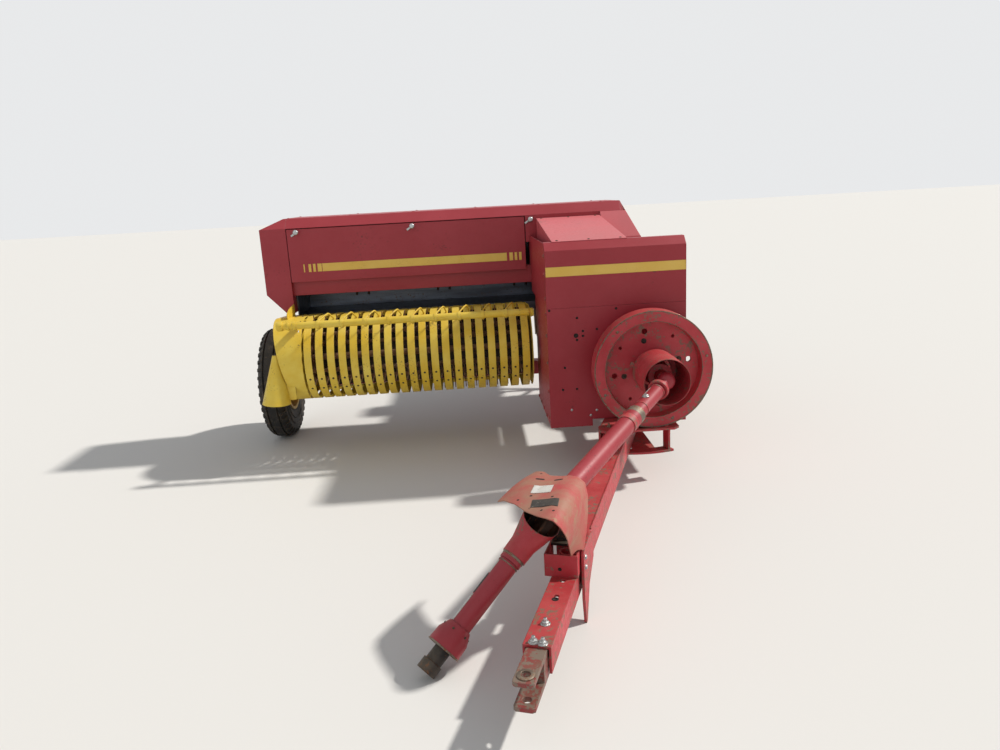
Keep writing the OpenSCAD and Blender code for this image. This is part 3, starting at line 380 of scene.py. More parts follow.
def coil(at, along, u, v, radius, length, turns, steps, start=0.0):
    """The points of a coil in metres, from its size in millimetres and its steps in a turn."""
    total = turns * steps
    angles = (start + 2 * pi * k / steps for k in range(int(total) + 1))
    return [at + (along * length * k / total + u * radius * cos(a) + v * radius * sin(a)) * MM
            for k, a in enumerate(angles)]


def slab(bm, at, along, across, size, edge=0.6):
    """A bevelled block centred on a point: size is its length, width and height in millimetres."""
    along = along.normalized()
    across = (across - along * across.dot(along)).normalized()
    up = along.cross(across)
    place = Matrix((along, across, up)).transposed().to_4x4()
    place.translation = at
    scale = Matrix.Diagonal((*(s * MM for s in size), 1))
    grown = bmesh.ops.create_cube(bm, size=1.0, matrix=place @ scale)
    edges = list({e for v in grown["verts"] for e in v.link_edges})
    if edge:
        bmesh.ops.bevel(bm, geom=edges, offset=edge * MM, segments=1, affect="EDGES")


def grown(r, *profile):
    """A profile given in parts of a radius, in millimetres."""
    return [(x * r, h * r) for x, h in profile]


def bolt(bm, at, axis, across):
    """A hexagon head with its washer and the chamfer that rounds its corners."""
    r = across / 2
    washer = grown(r, (0, 0), (1.5, 0), (1.5, 0.16), (1.42, 0.22), (0, 0.22))
    head = grown(r, (0, 0.2), (1.1, 0.2), (1.1, 0.75), (0.95, 0.9), (0, 0.92))
    lathe(bm, washer, at, axis, 16)
    lathe(bm, head, at, axis, 6, turn=at.x * 7)


def stud(bm, at, axis, across):
    """A nut on the end of its stud, over a washer."""
    bolt(bm, at, axis, across)
    end = grown(across / 2, (0, 0.9), (0.55, 0.9), (0.55, 1.7), (0.45, 1.85), (0, 1.85))
    lathe(bm, end, at, axis, 12)


def round_head(bm, at, axis, across):
    """A low domed carriage bolt head."""
    dome = grown(across / 2, (1, 0), (0.97, 0.16), (0.75, 0.34), (0.4, 0.46), (0, 0.5))
    lathe(bm, dome, at, axis, 14)


def hole(bm, at, axis, across):
    """The dished rim and shallow floor of an open hole; its near-black finish is painted shade for
    the hole's depth.
    """
    r = across / 2
    lathe(bm, [(r * 1.06, 0.0), (r, 0.35), (r * 0.8, 0.15), (0, 0.12)], at, axis, 18)


def slot(bm, at, axis, along, length, width):
    """A dished slot with round ends."""
    along = (along - axis * along.dot(axis)).normalized()
    other = axis.cross(along)
    steps = 20
    rings = []
    for scale, height in ((1.08, 0.0), (1.0, 0.35), (0.8, 0.15)):
        ring = []
        for a in around(steps, pi / steps):
            shift = copysign((length - width) / 2, cos(a)) + width / 2 * scale * cos(a)
            lift = axis * height + other * (width / 2 * scale * sin(a))
            ring.append(bm.verts.new(at + (along * shift + lift) * MM))
        rings.append(ring)
    join(bm, rings)
    bm.faces.new(rings[-1])


def on_tongue(x, s, z):
    """A point of the swung tongue: sideways, forward of its pivot and above the ground."""
    return P(PIVOT[0] + x * cos(SWING) - s * sin(SWING),
             PIVOT[1] - x * sin(SWING) - s * cos(SWING), z)


TONGUE_SIDE = Vector((cos(SWING), -sin(SWING), 0))
TONGUE_AHEAD = Vector((-sin(SWING), -cos(SWING), 0))
HALF_AHEAD = Vector((-sin(HALF_TURN) * cos(HALF_SLOPE),
                     -cos(HALF_TURN) * cos(HALF_SLOPE), -sin(HALF_SLOPE)))
REAR_AHEAD = (FRONT_JOINT - REAR_JOINT).normalized()


def ring_on(bm, start, ahead, s, width, r0, r1, steps=32):
    """A collar round a shaft, from radius r0 to r1, s millimetres along it."""
    lathe(bm, [(r0, s), (r1 - 1, s), (r1, s + 1), (r1, s + width - 1), (r1 - 1, s + width),
               (r0, s + width)], P(*start), ahead, steps)


def patch_on(bm, start, ahead, s0, s1, radius, turn0, turn1, steps=10):
    """A thin film wrapped on a tube between two lengths and two turns in degrees from its top."""
    side, down = basis(ahead)
    low, high = radius + 0.1, radius + 0.6
    outlines = []
    for k in range(steps + 1):
        a = radians(turn0 + (turn1 - turn0) * k / steps)
        out = side * sin(a) - down * cos(a)
        outlines.append([P(*(start + ahead * s + out * r))
                         for s, r in ((s0, low), (s1, low), (s1, high), (s0, high))])
    sweep(bm, outlines)


def settled_on(tree, x, y):
    """The point and the normal of a sheet, seen from above at machine x and y."""
    at, axis = tree.ray_cast(P(x, y, 1000), -Z)[:2]
    return at, axis if axis.z > 0 else -axis


def build(name, material, body, *shapes, angle=35):
    """One piece from its shapes, each a function above with what it takes."""
    bm = bmesh.new()
    for shape, *values in shapes:
        shape(bm, *values)
    return piece(name, bm, material, body, angle)


def fasteners(name, kind, material, places, across, body="chassis"):
    """One piece of like fasteners from a list of (point, axis)."""
    return build(name, material, body, *((kind, at, axis, across) for at, axis in places))


# Settings

class BalerSettings(bpy.types.PropertyGroup):
    bolt_across: FloatProperty(
        name="Bolt size", description="Width of a frame bolt across its flats",
        default=0.019, min=0.010, max=0.030, unit="LENGTH")
    stripe_height: FloatProperty(
        name="Stripe height", description="Height of the feeder's stripe",
        default=0.050, min=0.030, max=0.070, unit="LENGTH")
    lens: FloatProperty(
        name="Camera lens", description="Focal length for a 36 mm wide sensor",
        default=27.36, min=15, max=80, unit="CAMERA")
    lugs: IntProperty(
        name="Tyre lugs", description="Number of shoulder lugs on each side of a tyre",
        default=40, min=24, max=60)
    floor_colour: FloatVectorProperty(
        name="Floor", description="Colour of the floor and the backdrop",
        subtype="COLOR", default=linear("DEDCD8"), min=0, max=1)


class BalerStep:
    bl_options = {"REGISTER", "UNDO"}

    def execute(self, context):
        self.make(context.scene.baler)
        return {"FINISHED"}


class BALER_OT_finishes(BalerStep, bpy.types.Operator):
    """Makes the finishes and gives each CAD node its own"""
    bl_idname = "baler.finishes"
    bl_label = "Finishes"

    def make(self, settings):
        for name, values in FINISHES.items():
            finish_of(name, **values)
        for name, nodes in DRESSED.items():
            for node in nodes.split():
                ob = NODES[node]
                if not ob.material_slots:
                    ob.data.materials.append(finish(name))
                for place in ob.material_slots:
                    place.material = finish(name)


class BALER_OT_stripes(BalerStep, bpy.types.Operator):
    """Adds the gold stripes of the feeder panel and of the front shield"""
    bl_idname = "baler.stripes"
    bl_label = "Stripes"

    def make(self, settings):
        film, rounding, face, panel_z, shield_z = 0.6, 0.15, -0.4, 1156, 1131.5
        bands = [(-1807, -1799), (-1776, -1759), (-1748, -1731), (-1720, -1693), (-1690, -525),
                 (-509, -486), (-476, -459), (-448, -431)]
        height = settings.stripe_height / MM
        build("feeder_stripe", "vinyl_stripe_gold", "front_panel",
              *((slab, P((x0 + x1) / 2, FEEDER_FACE + face, panel_z), X, Y,
                 (x1 - x0, film, height), rounding) for x0, x1 in bands))
        build("front_stripe", "vinyl_stripe_gold", "chassis",
              (slab, P(0, face, shield_z), X, Y, (2 * SHIELD_SIDE - 4, film, 51), rounding))


class BALER_OT_shield_fasteners(BalerStep, bpy.types.Operator):
    """Adds the bolts, holes and flanges of the front shields, the hood and the feeder housing"""
    bl_idname = "baler.shield_fasteners"
    bl_label = "Shield fasteners"

    def make(self, settings):
        small = [(-361, 928), (-3, 920), (-214, 881), (-184, 809), (-184, 782), (-217, 762),
                 (-108, 815), (-287, 612), (-302, 490), (-225, 490)]
        # The holes here and below get near-black floors: painted shade for their depth.
        holes = [(P(x, 0, z), -Y) for x, z in small]
        fasteners("shield_holes", hole, "hole_painted_shade", holes, 13)
        large = [(P(-222, 0, 786), -Y)]
        fasteners("shield_large_hole", hole, "hole_painted_shade", large, 24)
        low = [(P(x, 0, z), -Y) for x, z in ((-257, 373), (-119, 364), (-153, 337))]
        fasteners("shield_low_bolts", round_head, "steel_zinc_plated", low, 15)
        edge_y, rail_z = 30, 300
        heights, depths = (330, 480, 640, 790, 905, 990, 1120, 1215), (180, 330, 480, 620)
        side = [(P(s * SHIELD_SIDE, edge_y, z), X * s) for s in (-1, 1) for z in heights]
        side += [(P(s * SHIELD_SIDE, y, rail_z), X * s) for s in (-1, 1) for y in depths]
        fasteners("side_shield_bolts", bolt, "enamel_red_worn", side, 15)
        hood_y, hood_z, run, rise = 42, 1286, 824, 98
        slope = Vector((0, -rise, run)).normalized()
        hood = [(P(x, y, hood_z + (y - hood_y) * rise / run), slope)
                for x in (-300, -130, 40) for y in (66, 845)]
        fasteners("hood_bolts", round_head, "steel_oiled_dark_and_painted_shade", hood, 15)
        top = [(P(x, y, FEEDER_TOP), Z)
               for x in (-1890, -1500, -1100, -700, -300, 100) for y in (975, 1347)]
        fasteners("feeder_top_bolts", round_head, "enamel_red_worn", top, 15)
        thick = 2.1
        rims = ([(209.3, 870, 1405), (225, 870, 1405), (213, 930, 1464.8), (209.3, 930, 1464.8)],
                [(76, 715, 1250), (298, 715, 1250), (298, 684, 1222), (76, 684, 1222)])
        build("cover_flanges", "enamel_red_sprayed", "chassis",
              *((sweep, [[P(x, y + lift, z - lift) for x, y, z in rim] for lift in (0, thick)])
                for rim in rims))
        back = [(P(x, FEEDER_BACK, 1400), Y) for x in range(-1850, 150, 280)]
        fasteners("feeder_rear_bolts", bolt, "enamel_red_worn", back, 15)


class BALER_OT_latches(BalerStep, bpy.types.Operator):
    """Adds the sprung latches along the upper edge of the feeder panel"""
    bl_idname = "baler.latches"
    bl_label = "Panel latches"

    def make(self, settings):
        knob = [(0, 0), (13, 0), (13, 3), (9, 4), (7, 14), (10, 17), (15, 20), (16, 25), (12, 29),
                (0, 30)]
        for name, body, places in (("panel_latches", "front_panel", (-1829, -1109)),
                                   ("inner_latch", "chassis", (-368,))):
            bm = bmesh.new()
            for x in places:
                at = P(x, FEEDER_FACE, 1380)
                lathe(bm, knob, at, -Y, 24)
                slab(bm, at + Vector((-14, -6, -10)) * MM, Vector((-3, 0, -2)), Y, (46, 3, 12))
            piece(name, bm, "steel_zinc_plated", body)


class BALER_OT_pickup_details(BalerStep, bpy.types.Operator):
    """Adds the pickup's tine coils, clamps, caps, bolts, reel bearings and a dark sheet behind the
    reel as painted shade
    """
    bl_idname = "baler.pickup_details"
    bl_label = "Pickup details"

    def make(self, settings):
        wire_r, coil_r, half = 3.2, 16, 11
        bm = bmesh.new()
        for a in around(BARS, radians(20)):
            for i in range(STRIPS - 1):
                x = STRIP_X0 + (i + 0.5) * PITCH - half
                at = P(x, REEL[0] - BAR_R * sin(a), REEL[1] + BAR_R * cos(a))
                tube(bm, coil(at, X, Y, Z, coil_r, 2 * half, 2.5, 9, a), wire_r, 5)
        piece("tine_coils", bm, "steel_spring_rusted", "reel", 60)
        inner = PIPE_R + 0.2
        band = [(inner, -11), (24, -10), (24.6, 0), (24, 10), (inner, 11)]
        bm = bmesh.new()
        for i in range(0, STRIPS, 2):
            at = P(STRIP_X0 + i * PITCH - 44, *PIPE)
            lathe(bm, band, at, X, 24)
            bolt(bm, at + Vector((0, 2, -24)) * MM, -Z, 11)
        piece("guard_clamps", bm, "enamel_yellow_sprayed", "pickup")
        inner = PIPE_R + 0.1
        caps = (([(inner, 30), (26, 29), (27, 24), (27, -1), (24, -6), (0, -8)], SEAM_X),
                ([(inner, 0), (25, 1), (25, 14), (inner, 15)], SEAM_X + 54),
                ([(PIN_R + 0.1, 0), (24, 1), (24, 7), (21, 9), (0, 10)], PIN_X - 2))
        build("guard_pipe_caps", "enamel_yellow_sprayed", "pickup",
              *((lathe, profile, P(x, *PIPE), X, 32) for profile, x in caps))
        upper, lower = Vector((0, 26, 265)).normalized(), Vector((0, 18, -220)).normalized()
        heads = []
        for x in (STRIP_X0 + i * PITCH for i in range(STRIPS)):
            heads += [(P(x, 938, 850.7), upper), (P(x, 896, 378.7), lower)]
            for out in (spoke(radians(200)), spoke(radians(216))):
                heads.append((P(x, *REEL) + out * STRIP_R * MM, out))
        fasteners("strip_bolts", round_head, "steel_oiled_dark_and_painted_shade", heads, 13, "pickup")
        flange = [(20.6, 0), (52, 0), (52, 4), (46, 6), (34, 7), (30, 16), (20.6, 17)]
        bm = bmesh.new()
        for x, way in ((-1804, -X), (-417, X)):
            at = P(x, *REEL)
            lathe(bm, flange, at, way, 32)
            for b in around(3, 0.4):
                stud(bm, at + (spoke(b) * 42 + way * 5) * MM, way, 13)
        piece("reel_bearings", bm, "iron_cast_painted", "pickup")
        # A dark sheet closes the pickup behind the reel: painted shade for the dark seen between
        # the strippers.
        thick = 2
        front = [(955, 820), (985, 760), (995, 640), (975, 520), (945, 450), (910, 385)]
        outline = front + [(y + thick, z) for y, z in reversed(front)]
        build("pickup_painted_shade_sheet", "steel_oiled_dark_and_painted_shade", "pickup",
              (sweep, [[P(x, y, z) for y, z in outline] for x in (-1800, -423)]))
        flare = [(P(x, y, z), Z) for y, z in ((700, 877), (860, 861)) for x in (-1850, -1810)]
        fasteners("divider_bolts", round_head, "steel_oiled_dark_and_painted_shade", flare, 14, "pickup")


class BALER_OT_wind_guard(BalerStep, bpy.types.Operator):
    """Makes the wind guard's pipe, its arms and its peaked rods"""
    bl_idname = "baler.wind_guard"
    bl_label = "Wind guard"

    def make(self, settings):
        y, z = PIPE
        length, pin, sheet, rod_r = 1449, 34, 6, 5
        bm = bmesh.new()
        lathe(bm, [(0, 0), (PIPE_R, 0), (PIPE_R, length), (0, length)], P(SEAM_X, y, z), X, 32)
        lathe(bm, [(0, 0), (PIN_R, 0), (PIN_R, pin), (0, pin)], P(PIN_X, y, z), X, 24)
        arm = [(y - 20, z + 12), (y - 14, z - 22), (630, 800), (670, 800), (670, 850),
               (y + 30, z + 18)]
        for x in (-1810, -417):
            sweep(bm, [[P(x + side, *at) for at in arm] for side in (0, sheet)])
        rod = [(-57, y, z + 6), (-52, 410, 880), (-14, 482, 908), (-2, 500, 914), (2, 514, 911),
               (9, 580, 880), (12, 618, 862)]
        for i in range(2, STRIPS, 2):
            x = STRIP_X0 + i * PITCH
            tube(bm, [P(x + shift, *at) for shift, *at in rod], rod_r)
        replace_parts(piece("wind_guard_pipe", bm, "enamel_yellow_sprayed", "pickup"), "wind_guard")


class BALER_OT_wheels(BalerStep, bpy.types.Operator):
    """Adds shoulder lugs, wheel nuts, hub caps and valves to both wheels"""
    bl_idname = "baler.wheels"
    bl_label = "Wheel details"

    def make(self, settings):
        half, lug_turn = TYRE_W / 2, 0.028
        lug = [(44, -4), (58, -9), (half - 5, -24), (half - 1, -42), (half - 7, -46), (50, -22)]
        ribs = [(RIM_R + 30, half - 11), (RIM_R + 70, half + 3), (RIM_R + 110, half + 3)]
        cap = [(46, 60), (46, 64), (40, 66), (38, 72), (30, 77), (0, 78)]
        valve = [(0, 0), (8, 0), (7, 8), (4, 12), (4, 34), (5, 35), (5, 42), (0, 43)]
        nut_ring, nut_out = 85, 30
        for body, (x, out) in WHEELS.items():
            name = body.split("_")[0]
            centre = P(x, AXLE_Y, TYRE_R)
            bm = bmesh.new()
            for side in (-1, 1):
                for a in around(settings.lugs, pi / settings.lugs if side > 0 else 0):
                    sweep(bm, [[centre + (X * side * u + spoke(end) * (TYRE_R + h)) * MM
                                for u, h in lug] for end in (a - lug_turn, a + lug_turn)])
                for r, peak in ribs:
                    foot = half - 26 + (r - RIM_R) * 0.2
                    lathe(bm, [(r - 3, foot), (r, peak), (r + 3, foot)], centre, X * side, 64)
            piece(name + "_tyre_tread", bm, "rubber_vulcanised", body, 40)
            way = X * out
            build(name + "_hub_cap", "enamel_yellow_muddy", body, (lathe, cap, centre, way, 32))
            side, other = basis(way)
            nuts = [(side * cos(a) + other * sin(a)) * nut_ring + way * nut_out for a in around(5)]
            fasteners(name + "_wheel_nuts", stud, "steel_bare_weathered",
                      [(centre + nut * MM, way) for nut in nuts], 19, body)
            foot, lean = Vector((out * 44, 0, RIM_R - 12)), Vector((out, 0, -0.25))
            build(name + "_valve", "rubber_vulcanised", body,
                  (lathe, valve, centre + foot * MM, lean, 16))


class BALER_OT_flywheel_details(BalerStep, bpy.types.Operator):
    """Adds the flywheel's nuts, rim plugs, web bolts, guard ears and bright rim edges"""
    bl_idname = "baler.flywheel_details"
    bl_label = "Flywheel details"

    def make(self, settings):
        def at(r, turn, y):
            a = radians(turn)
            return P(FLY[0] + r * cos(a), y, FLY[1] + r * sin(a))
        nuts = [(at(99, k * 120 + 40, -230), -Y) for k in range(3)]
        fasteners("guard_stud_nuts", stud, "steel_bare_weathered", nuts, 16, "flywheel_body")
        rim = [(at(282, turn, FLY_FACE), -Y) for turn in (12, 132, 205, 290)]
        fasteners("rim_plugs", round_head, "steel_bare_weathered", rim, 16, "flywheel_body")
        web = [(at(150, turn, -142), -Y) for turn in (15, 105, 195, 285)]
        fasteners("web_bolts", stud, "steel_oiled_dark_and_painted_shade", web, 19, "flywheel_body")
        build("guard_ears", "enamel_red_worn", "flywheel_body",
              *((slab, at(124, turn, -222), at(1, turn, 0) - at(0, turn, 0), Y, (24, 8, 20))
                for turn in (20, 160, 280)))
        outer = [(309.5, 198), (310.3, 200.6), (307, 201.2), (304, 200.6), (304, 199)]
        inner = [(255.5, 199), (255, 201), (252.6, 201), (252.2, 198)]
        build("rim_edges", "steel_bare_weathered", "flywheel_body",
              *((lathe, profile, at(0, 0, 0), -Y, 96) for profile in (outer, inner)))


class BALER_OT_shaft_details(BalerStep, bpy.types.Operator):
    """Adds the shaft guards' collars, blank labels and bolts, and remakes the front guard"""
    bl_idname = "baler.shaft_details"
    bl_label = "Drive shaft details"

    def make(self, settings):
        def at(s, out):
            """A point s millimetres along the front shaft and out from its middle."""
            return P(*(FRONT_JOINT + HALF_AHEAD * s + out))
        rear, front = (REAR_JOINT, REAR_AHEAD), (FRONT_JOINT, HALF_AHEAD)
        build("guard_band", "steel_bare_weathered", "rear_shaft_body",
              (ring_on, *rear, 392, 46, REAR_GUARD_R, 43.6))
        build("guard_collars", "enamel_red_worn", "rear_shaft_body",
              *((ring_on, *rear, *sizes) for sizes in ((130, 8, REAR_GUARD_R, 37.4),
                (330, 8, REAR_GUARD_R, 37.4), (472, 44, 41, 44.5), (96, 22, 40, 49))))
        down = basis(REAR_AHEAD)[1]
        head = P(*(REAR_JOINT + REAR_AHEAD * 270 - down * REAR_GUARD_R))
        fasteners("guard_bolt", bolt, "steel_zinc_plated", [(head, -down)], 22, "rear_shaft_body")
        build("rear_guard_label", "label_blank_white", "rear_shaft_body",
              (patch_on, *rear, 160, 250, REAR_GUARD_R, 28, 60))
        for name, colour, s0, s1 in (("rear", "white", 245, 300), ("field", "black", 304, 386),
                                     ("front", "white", 390, 498)):
            build("front_guard_label_" + name, "label_blank_" + colour, "front_shaft",
                  (patch_on, *front, s0, s1, FRONT_GUARD_R, 15, 75))
        rings = (196, 18, 31, 42.5), (236, 5, FRONT_GUARD_R, 39), (586, 6, 57, 63.5)
        build("front_guard_rings", "steel_bare_weathered", "front_shaft",
              *((ring_on, *front, *sizes) for sizes in rings))
        side, down = basis(HALF_AHEAD)
        # A dark lining inside the guard's mouth: painted shade for its inside.
        bm, shade_lining = bmesh.new(), bmesh.new()
        loops = []
        for skin, made in ((0, bm), (2.5, bm), (3.2, shade_lining)):
            for r0, near in ((46, 205), (48, 150), (74, None)):
                loop = []
                for a in around(40):
                    out = side * sin(a) - down * cos(a)
                    place = near or 40 + 60 * cos(a + 0.82) + (2 if made is shade_lining else 0)
                    loop.append(made.verts.new(at(place, out * (r0 - skin))))
                loops.append(loop)
        join(bm, [loops[k] for k in (0, 1, 2, 5, 4, 3, 0)])
        join(shade_lining, loops[6:])
        shade_lining.faces.new(loops[6])
        piece("front_guard_painted_shade", shade_lining, "steel_oiled_dark_and_painted_shade", "front_shaft")
        piece("front_guard_mouth", bm, "enamel_red_worn", "front_shaft")
        outs = [side * cos(a) - down * sin(a) for a in around(6)]
        fasteners("front_guard_rivets", round_head, "steel_oiled_dark_and_painted_shade",
                  [(at(s, out * r), out) for s, r in ((106, 51), (520, 52)) for out in outs], 9,
                  "front_shaft")

        def turned(r0, r1, s0, s1, steps):
            profile = [(r0, s0), (r1, s0), (r1, s1), (r0, s1)]
            return lathe, profile, P(*FRONT_JOINT), HALF_AHEAD, steps
        bell = [(37.2, 500), (42, 500), (60, 540), (62, 590), (58, 590), (56, 544), (36, 515)]
        guard = build("front_guard_tube", "enamel_red_sprayed", "front_shaft",
                      turned(0, 31, 120, 205, 32), turned(30, 41, 207, 229, 32),
                      turned(0, FRONT_GUARD_R, 230, 550, 40),
                      (lathe, bell, P(*FRONT_JOINT), HALF_AHEAD, 48))
        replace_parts(guard, "half_shaft")
        build("front_yoke", "steel_oiled_dark_and_painted_shade", "front_shaft",
              *((slab, at(62, side * ear), HALF_AHEAD, side, (120, 10, 38), 2)
                for ear in (-39, 39)), turned(0, 44, 110, 124, 32))


class BALER_OT_tongue_details(BalerStep, bpy.types.Operator):
    """Adds the tongue's bolts, holes, welds and hitch bosses"""
    bl_idname = "baler.tongue_details"
    bl_label = "Tongue details"

    def make(self, settings):
        across = settings.bolt_across / MM
        tops = [(on_tongue(x, s, CHANNEL_TOP), Z) for x, s in ((0, 2252), (-14, 2357), (16, 2360))]
        fasteners("channel_bolts", stud, "steel_zinc_plated", tops, across * 1.2, "tongue")
        sides = [(on_tongue(65, s, z), TONGUE_SIDE) for s, z in ((1880, 265), (1878, 225))]
        fasteners("stand_bolts", bolt, "steel_zinc_plated", sides, across * 0.8, "tongue")
        # The holes' near-black floors are painted shade for their depth.
        build("tongue_holes", "hole_painted_shade", "tongue",
              (hole, on_tongue(0, 2100, CHANNEL_TOP), Z, 24),
              (hole, on_tongue(-14, 1950, 245), TONGUE_AHEAD, 13))
        upper = [(15, 0), (27, 0), (27, 3), (24, 5), (15, 5)]
        lower = [(15, 0), (25, 0), (25, 2), (22, 4), (15, 4)]
        build("hitch_bosses", "steel_bare_weathered", "tongue",
              (lathe, upper, on_tongue(0, HITCH_S, 207), Z, 32),
              (lathe, lower, on_tongue(0, HITCH_S, 113), -Z, 32))
        random.seed(7)
        bm = bmesh.new()
        spacing, wander = 22, 0.8
        seams = ((-45, 1812, 45, 1812, CHANNEL_TOP + 1), (-60, 300, -56, 1780, 291),
                 (60, 300, 56, 1700, 291))
        for x0, s0, x1, s1, z in seams:
            n = max(8, int(hypot(x1 - x0, s1 - s0) / spacing))
            line = [on_tongue(x0 + (x1 - x0) * k / n + random.uniform(-wander, wander),
                              s0 + (s1 - s0) * k / n, z) for k in range(n + 1)]
            tube(bm, line, 3.6, 6)
        piece("tongue_welds", bm, "enamel_red_worn", "tongue", 60)
        reach = 480
        bracket = [(P(PIVOT[0] + reach * sin(a), PIVOT[1] - reach * cos(a), 310), Z)
                   for a in (radians(t) for t in (-24, 5))]
        fasteners("bracket_bolts", stud, "steel_bare_weathered", bracket, across)


class BALER_OT_case_details(BalerStep, bpy.types.Operator):
    """Adds the bale case's bolts, ribs and springs, the lid's clips and the cover's handle"""
    bl_idname = "baler.case_details"
    bl_label = "Bale case details"

    def make(self, settings):
        low_z, high_z, high_end = 880, 1180, 2240
        rows = []
        for s in (-1, 1):
            for y in range(1440, 2880, 160):
                rows += [(P(s * CASE, y, z), X * s)
                         for z in (low_z, high_z) if z == low_z or y < high_end]
        fasteners("case_bolts", round_head, "enamel_red_worn", rows, 17)
        build("case_side_ribs", "enamel_red_sprayed", "chassis",
              *((slab, P(s * (CASE + 10), y, z), Y, Z, (1340, 26, 20), 1.5)
                for s, y in ((-1, 2130), (1, 2120)) for z in (925, 1000)))
        spring_r, length, turns, wire_r, foot_z = 29, 98, 6, 4.5, 1259
        build("tension_springs", "steel_oiled_dark_and_painted_shade", "chassis",
              *((tube, coil(P(x, SCREW_Y, foot_z), Z, X, Y, spring_r, length, turns, 12), wire_r, 6)
                for x in (-300, 300)), angle=60)
        bm = bmesh.new()
        for s in (-1, 1):
            for z, way in ((1254, Z), (755, -Z)):
                stud(bm, P(s * 250, SCREW_Y, z), way, 22)
            for y, z in ((2280, 1226), (2420, 1214), (2560, 1214), (2840, 1214)):
                round_head(bm, P(s * 198, y, z), Z, 18)
        piece("tension_bolts", bm, "steel_bare_weathered", "chassis")
        build("lid_clips", "steel_zinc_plated", "box_lid",
              *((slab, P(622, y, 1124), Y, Z, (60, 34, 5), 1.2) for y in (1300, 1575, 1850)))
        handle = ((-40, 1921), (-40, 1932), (-30, 1938), (30, 1938), (40, 1932), (40, 1921))
        build("cover_handle", "steel_zinc_plated", "knotter_lid",
              (tube, [P(x, y, 1330) for x, y in handle], 6))


class BALER_OT_drive_details(BalerStep, bpy.types.Operator):
    """Adds the gearbox's flanges and bolts, the knotters' toothed discs and the axle's bolts"""
    bl_idname = "baler.drive_details"
    bl_label = "Drive details"

    def make(self, settings):
        flange = [(60, 0), (86, 0), (86, 12), (80, 15), (60, 15)]
        build("gearbox_flanges", "iron_cast_painted", "chassis",
              *((slab, P(137.5, 335, z), X, Y, (245, 330, h), 3)
                for z, h in ((735, 12), (560, 10))),
              (lathe, flange, P(FLY[0], 182, FLY[1]), -Y, 40))
        bolts = [(P(x, y, 741), Z) for x in (35, 137, 240) for y in (190, 335, 480)]
        bolts += [(P(FLY[0], 167, FLY[1]) + (X * cos(a) + Z * sin(a)) * 74 * MM, -Y)
                  for a in around(6)]
        fasteners("gearbox_bolts", bolt, "steel_oiled_dark_and_painted_shade", bolts, 15)
        bm = bmesh.new()
        for x in (-110, 110):
            lathe(bm, [(18, 0), (62, 0), (66, 3), (62, 6), (18, 6)], P(x - 52, *KNOTTER), X, 40)
            for a in around(16):
                slab(bm, P(x - 40, *KNOTTER) + spoke(a) * 88 * MM, X, Y, (9, 9, 9), 1)
        piece("knotter_teeth", bm, "iron_cast_painted", "chassis")
        axle = [(P(x, AXLE_Y + y, 417), Z) for x in (-190, 190, -1880) for y in (-32, 32)]
        fasteners("axle_bolts", stud, "steel_bare_weathered", axle, 18)


class BALER_OT_joint_cover(BalerStep, bpy.types.Operator):
    """Makes the bent sheet over the front drive joint, with its slots, holes and blank labels"""
    bl_idname = "baler.joint_cover"
    bl_label = "Joint cover"

    def make(self, settings):
        front = [(-725, -1430, 470), (-704, -1477, 492), (-668, -1543, 504), (-638, -1609, 504),
                 (-602, -1669, 510), (-579, -1712, 520), (-556, -1737, 520), (-534, -1739, 496),
                 (-516, -1707, 455), (-501, -1651, 405), (-490, -1590, 352), (-480, -1560, 300)]
        back = [(-562, -1169, 475), (-554, -1225, 497), (-537, -1254, 505), (-517, -1302, 506),
                (-480, -1351, 520), (-452, -1364, 526), (-424, -1384, 526), (-401, -1401, 508),
                (-394, -1414, 465), (-400, -1440, 402), (-415, -1490, 345), (-430, -1520, 300)]
        cuts, bulge, thick = 8, 12, 3
        bm = bmesh.new()
        rows = []
        lifts = [Z * bulge * MM * sin(pi * k / cuts) for k in range(cuts + 1)]
        for a, b in zip(front, back):
            rows.append([bm.verts.new(P(*a).lerp(P(*b), k / cuts) + lift)
                         for k, lift in enumerate(lifts)])
        join(bm, rows, closed=False)
        bmesh.ops.recalc_face_normals(bm, faces=bm.faces)
        bmesh.ops.solidify(bm, geom=bm.faces[:], thickness=thick * MM)
        cover = piece("joint_cover_sheet", bm, "sheet_rusted", "tongue", 50)
        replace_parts(cover, "joint_cover")
        tree = BVHTree.FromPolygons([v.co for v in cover.data.vertices],
                                    [f.vertices for f in cover.data.polygons])
        bm = bmesh.new()
        for x, y, long, wide in ((-561, -1351, 34, 14), (-497, -1394, 34, 14), (-550, -1282, 9, 9),
                                 (-608, -1504, 10, 10), (-539, -1562, 10, 10), (-655, -1518, 9, 9),
                                 (-623, -1600, 9, 9), (-585, -1639, 9, 9), (-548, -1671, 9, 9)):
            slot(bm, *settled_on(tree, x, y), Vector((0.95, -0.3, 0)), long, wide)
        # The slots' near-black floors are painted shade for their depth.
        piece("cover_slots", bm, "hole_painted_shade", "tongue")
        steps = 14
        for name, material, corner, along, across in (
                ("cover_label", "label_blank_white", (-588, -1416), (68, -34), (-20, -66)),
                ("cover_label_field", "label_blank_black", (-606, -1541), (88, -51), (-12, -54))):
            bm = bmesh.new()
            grid = []
            for i in range(steps + 1):
                row = []
                for k in range(steps + 1):
                    flat = Vector(corner) + Vector(along) * i / steps + Vector(across) * k / steps
                    at, axis = settled_on(tree, *flat)
                    row.append([bm.verts.new(at + axis * h * MM) for h in (0.3, 1.4)])
                grid.append(row)
            rim = (grid[0] + [row[-1] for row in grid[1:-1]] + grid[-1][::-1]
                   + [row[0] for row in grid[-2:0:-1]])
            for h in (0, 1):
                join(bm, [[pair[h] for pair in row] for row in grid], closed=False)
            join(bm, list(zip(*rim)))
            piece(name, bm, material, "tongue")


